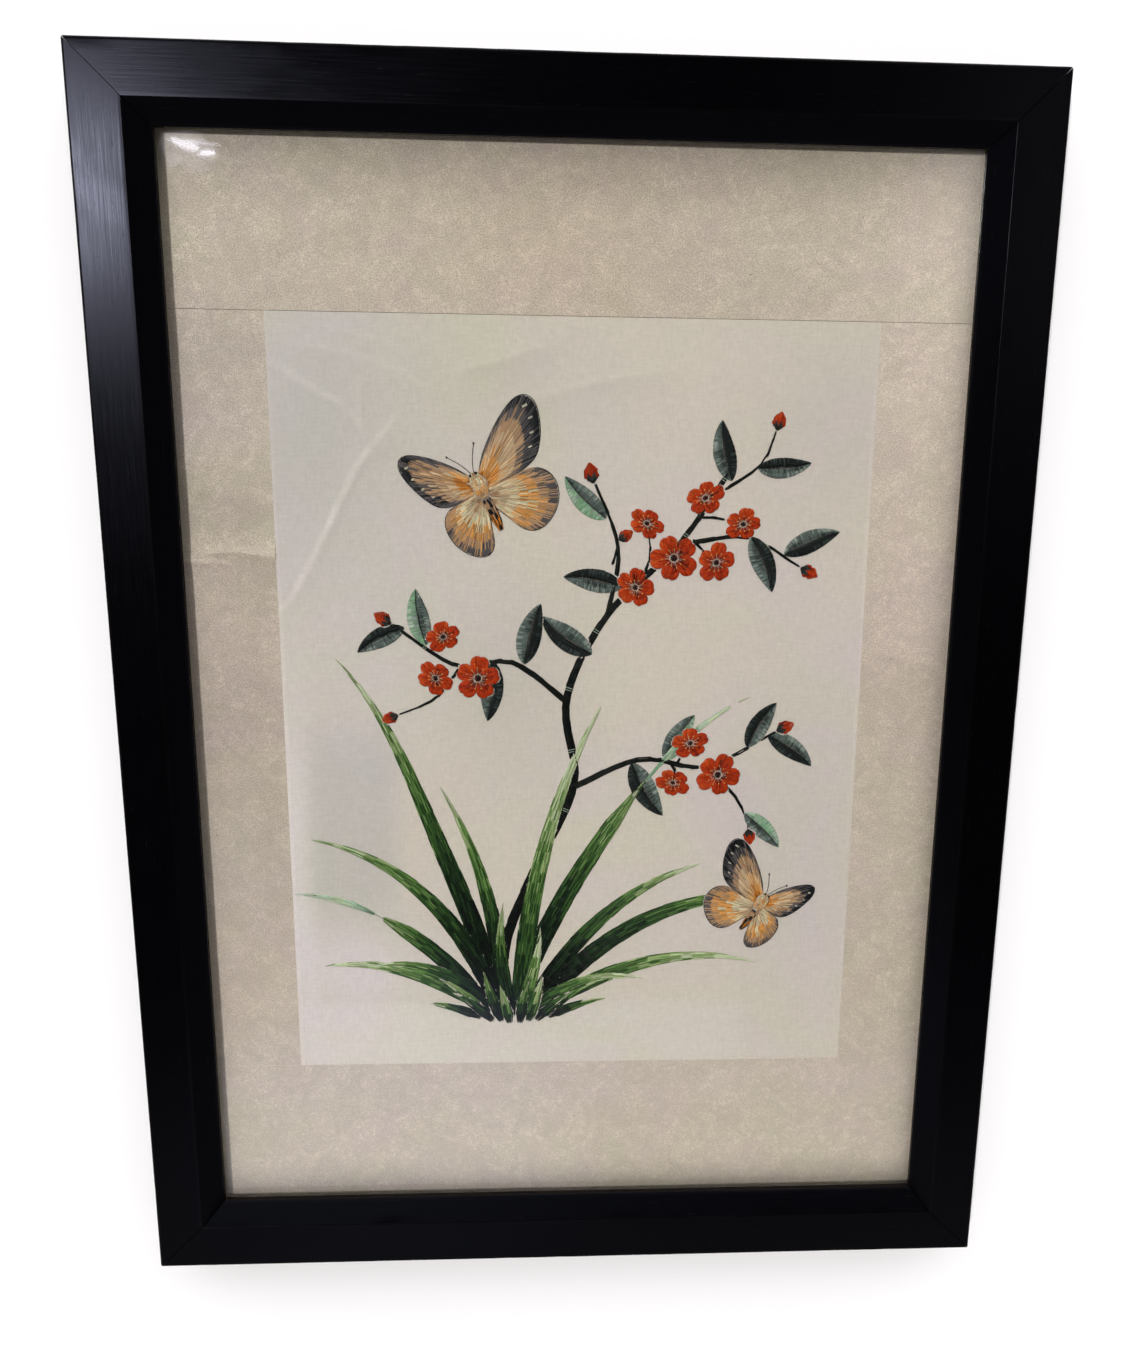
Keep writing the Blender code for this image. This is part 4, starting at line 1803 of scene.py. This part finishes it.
# The stitched picture's parts, from back to front
STEMS = (
    Stem(((-33, -150), (-34, -118), (-18, -76), (0, -34), (-4, 8), (16, 50), (48, 82),
          (72, 118)), 5.2),
    Stem(((0, -36), (32, -22), (64, -26), (98, -8)), 3.0),
    Stem(((-3, 6), (-30, 26), (-56, 24), (-86, 44)), 2.8),
    Stem(((15, 48), (20, 80), (8, 112)), 2.2), Stem(((62, -25), (80, -42), (86, -58)), 1.7),
    Stem(((48, 82), (80, 86), (106, 72)), 2.2), Stem(((-54, 24), (-66, 8), (-84, 0)), 1.5),
    Stem(((66, 106), (86, 120), (92, 136)), 1.5), Stem(((30, 64), (35, 76), (33, 92)), 1.3),
    Stem(((58, 95), (67, 95), (78, 92)), 1.3), Stem(((54, 85), (60, 79), (66, 74)), 1.3),
    Stem(((50, -24), (52, -20), (56, -14)), 1.3), Stem(((46, -23), (50, -28), (48, -34)), 1.3),
    Stem(((17, 72), (19, 78), (20, 84)), 1.2),
)
LEAVES = (
    OvalLeaf((8, 30), -60, 30, 12.5, light_left=False),
    OvalLeaf((22, 62), -74, 28, 11.5, bend=-16), OvalLeaf((-24, 25), 8, 30, 12.0),
    OvalLeaf((-70, 34), -18, 27, 11.0, bend=22, sage=True),
    OvalLeaf((-40, 27), 176, 30, 12.0, light_left=False),
    OvalLeaf((-80, 42), -110, 25, 10.0, bend=-20), OvalLeaf((28, -24), 158, 31, 12.5, bend=-20),
    OvalLeaf((44, -23), 24, 27, 11.0, light_left=False, sage=True),
    OvalLeaf((84, -16), 24, 26, 10.5, light_left=False),
    OvalLeaf((94, -10), 116, 27, 10.5, bend=24),
    OvalLeaf((82, 86), 150, 28, 11.5, light_left=False), OvalLeaf((98, 78), 60, 28, 11.0),
    OvalLeaf((14, 94), -52, 27, 11.0, sage=True),
    OvalLeaf((84, 118), 92, 25, 10.0, bend=-20, light_left=False),
    OvalLeaf((72, 112), -20, 28, 11.0, bend=24), OvalLeaf((84, -50), 128, 25, 10.0, sage=True),
)
BLADES = (
    Blade((-44, -152), -34, -58, 116, 7.6, sway=-3, neck=0.64),
    Blade((-22, -156), 40, 70, 160, 8.2), Blade((-38, -154), -9, -34, 198, 8.4, sway=-6),
    Blade((-30, -156), 15, 50, 206, 8.8, neck=0.68, sway=5),
    Blade((-42, -154), -56, -44, 88, 6.8, young=True),
    Blade((-18, -154), 58, 50, 118, 7.0, young=True), Blade((-36, -156), -21, -60, 138, 8.0),
    Blade((-28, -157), 5, 24, 172, 8.2, young=True), Blade((-34, -157), -4, -26, 126, 7.4),
    Blade((-24, -157), 29, 48, 126, 7.6), Blade((-35, -158), -42, -64, 76, 6.2),
    Blade((-25, -158), 48, 62, 68, 6.0, young=True), Blade((-31, -159), -12, 22, 64, 6.6),
    Blade((-28, -159), 20, -18, 52, 6.2, young=True),
    Blade((-43, -159), -36, -30, 34, 5.0, young=True), Blade((-17, -159), 44, 30, 36, 5.0),
    Blade((-46, -158.5), -64, -24, 30, 4.4), Blade((-13, -158.5), 62, 24, 32, 4.4),
    Blade((-40, -160.5), -44, -22, 27, 5.0), Blade((-19, -160.5), 42, 20, 26, 5.0),
    Blade((-36, -161), -22, 12, 30, 5.2), Blade((-23, -161), 20, -10, 28, 5.0, young=True),
    Blade((-32, -162), -10, -8, 22, 5.2, young=True), Blade((-27, -162), 6, 12, 24, 5.2),
)
BUDS = (
    Bud((8, 110), -14, 10.0), Bud((-86, 44), -60, 9.5), Bud((98, -8), 62, 9.5),
    Bud((106, 72), 116, 9.5), Bud((92, 135), 12, 9.0), Bud((86, -58), 168, 8.5),
    Bud((-84, 0), -112, 8.5), Bud((20, 84), 54, 8.0),
)
BLOSSOMS = (
    Blossom((60, 104), 9.5, 20, 0.8, 35), Blossom((33, 92), 9.0, 60, 0.75, -30),
    Blossom((78, 92), 9.0, 5, 0.85, 10), Blossom((46, 76), 11.5, 40),
    Blossom((66, 74), 10.0, 12, 0.9, 60), Blossom((28, 62), 10.0, 76, 0.88, -50),
    Blossom((-62, 38), 9.0, 30, 0.8, 20), Blossom((-46, 18), 11.0, 10),
    Blossom((-66, 18), 9.5, 50, 0.82, -40), Blossom((56, -14), 9.5, 22, 0.82, 15),
    Blossom((70, -30), 11.0, 64), Blossom((48, -34), 8.8, 40, 0.78, -25),
)
BUTTERFLIES = (
    Butterfly((-42, 104), 28.0, 1.12, left_open=0.72),
    Butterfly((92, -100), -34.0, 0.88, right_open=0.62),
)


@dataclass
class Picture:
    """The stitched picture: a flowering branch in a clump of grass, two butterflies."""

    parts: tuple[Stem | OvalLeaf | Blade | Bud | Blossom | Butterfly, ...] = (
        *STEMS, *LEAVES, *BLADES, *BUDS, *BLOSSOMS, *BUTTERFLIES)

    def stitch(self, cloth_top: float) -> None:
        """Stitches the whole picture from back to front.

        Args:
            cloth_top: Height of the flat cloth's face.
        """
        work = Needlework(cloth_top)
        for part in self.parts:
            part.stitch(work)
        work.finish()


# Glass, board, cloth


@dataclass(frozen=True)
class Glazing:
    """What lies in the rabbet: glass, the five pieces of silk, and the board.

    Attributes:
        panel, fill: Half sizes of the plain panel and of all the silk.
        overlap: How much higher the top and bottom strips lie, over the others' ends.
        seam: Width of the open line under the top strip.
    """

    cloth_top: float
    panel: Pair = (137.65, 183.65)
    fill: Pair = (183.8, 261.8)
    overlap: float = 0.12
    seam: float = 0.17

    def build(self) -> None:
        """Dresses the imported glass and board, and lays the silks between them."""
        for node, finish in (("glass_pane", GLASS), ("backing_board", HARDBOARD)):
            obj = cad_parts[node]
            obj.data.materials.clear()
            obj.data.materials.append(finish.material())
        (px, py), (fx, fy) = self.panel, self.fill
        figured = FIGURED_SILK.material()
        Sheet("plain_silk_panel", "silk_panel", (-px, -py), (px, py), PANEL_CREASES, PANEL_CLOUDS,
              (1.6, 1.6), hemmed=True).build(self.cloth_top, PLAIN_SILK.material(),
                                             "ivory_plain_silk")
        for side, low, high, creases in (("left", (-fx, -py), (-px, py), LEFT_CREASES),
                                         ("right", (px, -py), (fx, py), RIGHT_CREASES)):
            Sheet(f"figured_silk_{side}", f"brocade_{side}", low, high, creases, STRIP_CLOUDS,
                  (2.9, 0.75)).build(self.cloth_top, figured, "cream_figured_silk")
        for side, low, high in (("top", (-fx, py + self.seam), (fx, fy)),
                                ("bottom", (-fx, -fy), (fx, -py))):
            Sheet(f"figured_silk_{side}", f"brocade_{side}", low, high, clouds=STRIP_CLOUDS,
                  lift=self.overlap).build(self.cloth_top, figured, "cream_figured_silk")


# Studio


@dataclass(frozen=True)
class Window:
    """A soft bright patch in the dark ceiling, which is seen as a plane.

    Attributes:
        middle: Its middle in (x / z, y / z) of the direction to it.
        reach: How far it goes from there.
        even: Share of its reach that is at full brightness.
    """

    middle: Pair
    reach: Pair
    strength: float
    colour: str = "#f4f6ff"
    even: float = 0.0


@dataclass(frozen=True)
class Glare:
    """A small lamp, hung so that the glass mirrors it at one spot.

    Attributes:
        spot: Where on the glass the camera sees it.
        size: Length and width of what is seen there.
        turn: Degrees anticlockwise that it is turned.
    """

    name: str
    spot: Pair
    size: Pair
    turn: float
    radiance: float


@dataclass(frozen=True)
class Studio:
    """The pale floor, the lamps and the camera.

    Attributes:
        eye, turn: The camera's place, and its turn about X, Y and Z in degrees.
        lens: Focal length for a 36 mm long side.
        shift: The lens's shift, as shares of the picture's long side.
        key, key_width: Direction to the key lamp, and its width in degrees.
        wall, horizon, ceiling: Brightness of the bright wall, the low walls all round
            and the ceiling.
        glare_height: How far over the glass the glare's lamps hang.
    """

    eye: Triple = (-4.69, 134.78, 521.52)
    turn: Triple = (-11.793, -2.781, 0.804)
    lens: float = 29.38
    shift: Pair = (-0.0364, -0.0120)
    key: Triple = (-0.435, 0.195, 1.0)
    key_power: float = 2.04
    key_width: float = 5.0
    wall: float = 2.5
    horizon: float = 0.8
    ceiling: float = 0.03
    windows: tuple[Window, ...] = (
        Window((0.0, -1.05), (1.7, 0.52), 0.6, "#fffaf2", 0.62),
        Window((-0.17, -0.74), (0.26, 0.27), 0.8, "#ccd2ff", 0.4),
        Window((0.45, 0.22), (0.22, 0.42), 1.6, "#fff8f2"),
        Window((-0.25, 1.0), (0.5, 0.22), 2.0),
        Window((-1.9, 0.35), (0.5, 0.35), 0.8),
        Window((-1.9, -1.2), (0.6, 0.45), 0.8),
    )
    glass_top: float = 13.0
    glare_height: float = 2000.0
    glares: tuple[Glare, ...] = (
        Glare("glare_band", (-162.6, 251.3), (24.0, 1.0), -3.0, 7.0),
        Glare("glare_core", (-167.2, 250.6), (11.0, 2.9), -16.0, 10.0),
        Glare("glare_low", (-158.0, 246.9), (8.0, 2.4), -2.0, 12.0),
        Glare("glare_dot", (-171.6, 244.2), (7.0, 6.0), 15.0, 2.0),
        Glare("glare_faint", (-147.0, 244.8), (8.0, 2.5), -15.0, 0.8),
        Glare("glare_haze", (-165.0, 248.0), (24.0, 14.0), -10.0, 1.2),
    )
    floor_half: float = 6000.0
    floor_height: float = -0.2

    def build(self) -> None:
        """Adds everything that isn't the piece itself."""
        self._camera()
        self._floor()
        self._sky()
        self._lamps()

    def _camera(self) -> None:
        """The camera, as solved from the frame's corners in the photograph."""
        data = bpy.data.cameras.new("camera")
        data.sensor_width, data.sensor_fit = 36.0, "AUTO"
        data.lens = self.lens
        data.shift_x, data.shift_y = self.shift
        data.clip_start, data.clip_end = 0.01, 50.0
        camera = add_object("camera", data)
        camera.location = Vector(self.eye) * MM
        camera.rotation_euler = Euler([math.radians(v) for v in self.turn], "XYZ")
        bpy.context.scene.camera = camera

    def _floor(self) -> None:
        """A wide flat floor just under the piece."""
        corners = np.array([(-1, -1), (1, -1), (1, 1), (-1, 1)]) * self.floor_half
        points = np.column_stack([corners, np.full(4, self.floor_height)])
        floor = build_mesh("floor", points, [np.array([[0, 1, 2, 3]])])
        floor.data.materials.append(FLOOR.material())

    def _sky(self) -> None:
        """A dark ceiling with soft windows, dim walls, and a bright wall beyond the top.

        Formula: walls are smooth steps of the direction's height and of its share
        towards the picture's top. A window is a smooth step of the distance from its
        middle in (x / z, y / z), the ceiling seen as a plane.
        """
        world = bpy.data.worlds.new("studio")
        bpy.context.scene.world = world
        world.use_nodes = True
        tree = world.node_tree
        add = partial(add_node, tree)
        place = add("TexCoord").outputs["Generated"]
        axes = add("SeparateXYZ", (place,)).outputs
        smooth = {"interpolation_type": "SMOOTHSTEP"}
        wall = add("MapRange", (axes["Y"], 0.25, 0.7, 0.0, self.wall), **smooth)
        below = add("MapRange", (axes["Z"], 0.5, 0.72, 1.0, 0.0), **smooth)
        low = add("MapRange", (axes["Z"], 0.1, 0.65, self.horizon, self.ceiling), **smooth)
        grey = add("Math MULTIPLY_ADD", (wall, below, low))
        high = add("Math MAXIMUM", (axes["Z"], 0.05))
        height = add("CombineXYZ", (high, high, high))
        plane = add("VectorMath DIVIDE", (place, height))
        light = add("VectorMath SCALE", {0: linear("#fdfdff"), 3: grey})
        for window in self.windows:
            shares = (1 / window.reach[0], 1 / window.reach[1], 0.0)
            moved = add("VectorMath SUBTRACT", (plane, (*window.middle, 1.0)))
            scaled = add("VectorMath MULTIPLY", (moved, shares))
            away = add("VectorMath LENGTH", (scaled,)).outputs["Value"]
            power = add("MapRange", (away, window.even, 1.0, window.strength, 0.0), **smooth)
            shine = add("VectorMath SCALE", {0: linear(window.colour), 3: power})
            light = add("VectorMath ADD", (light, shine))
        tree.links.new(light.outputs[0], tree.nodes["Background"].inputs["Color"])

    def _lamps(self) -> None:
        """The key lamp, and the small ones that the glass mirrors in its corner.

        Formula: with the eye h and a lamp H over the glass, the lamp's place is the
        spot + (spot - eye) * H / h, and its size is the seen size * (1 + H / h).
        """
        sun = bpy.data.lights.new("key", "SUN")
        sun.energy, sun.angle = self.key_power, math.radians(self.key_width)
        sun.color = linear("#fffcfb")
        key = add_object("key", sun)
        key.rotation_euler = Vector(self.key).to_track_quat("Z", "Y").to_euler()
        ratio = self.glare_height / (self.eye[2] - self.glass_top)
        for glare in self.glares:
            lamp = bpy.data.lights.new(glare.name, "AREA")
            lamp.shape = "ELLIPSE"
            lamp.size, lamp.size_y = (one * (1 + ratio) * MM for one in glare.size)
            lamp.energy = glare.radiance * math.pi * lamp.size * lamp.size_y
            lamp.color = linear("#f4f0ff")
            obj = add_object(glare.name, lamp)
            x, y = (spot + (spot - eye) * ratio for spot, eye in zip(glare.spot, self.eye))
            obj.location = Vector((x, y, self.glass_top + self.glare_height)) * MM
            obj.rotation_euler = Euler((0.0, 0.0, math.radians(glare.turn)))


def main() -> None:
    """Builds every piece in order."""
    logging.basicConfig(level=logging.INFO, format="%(message)s")
    bpy.context.scene.view_settings.view_transform = "Standard"
    cloth_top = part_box("brocade_right")[1].z / MM
    Studio().build()
    Moulding().build()
    Glazing(cloth_top).build()
    Picture().stitch(cloth_top)


if __name__ == "__main__":
    main()
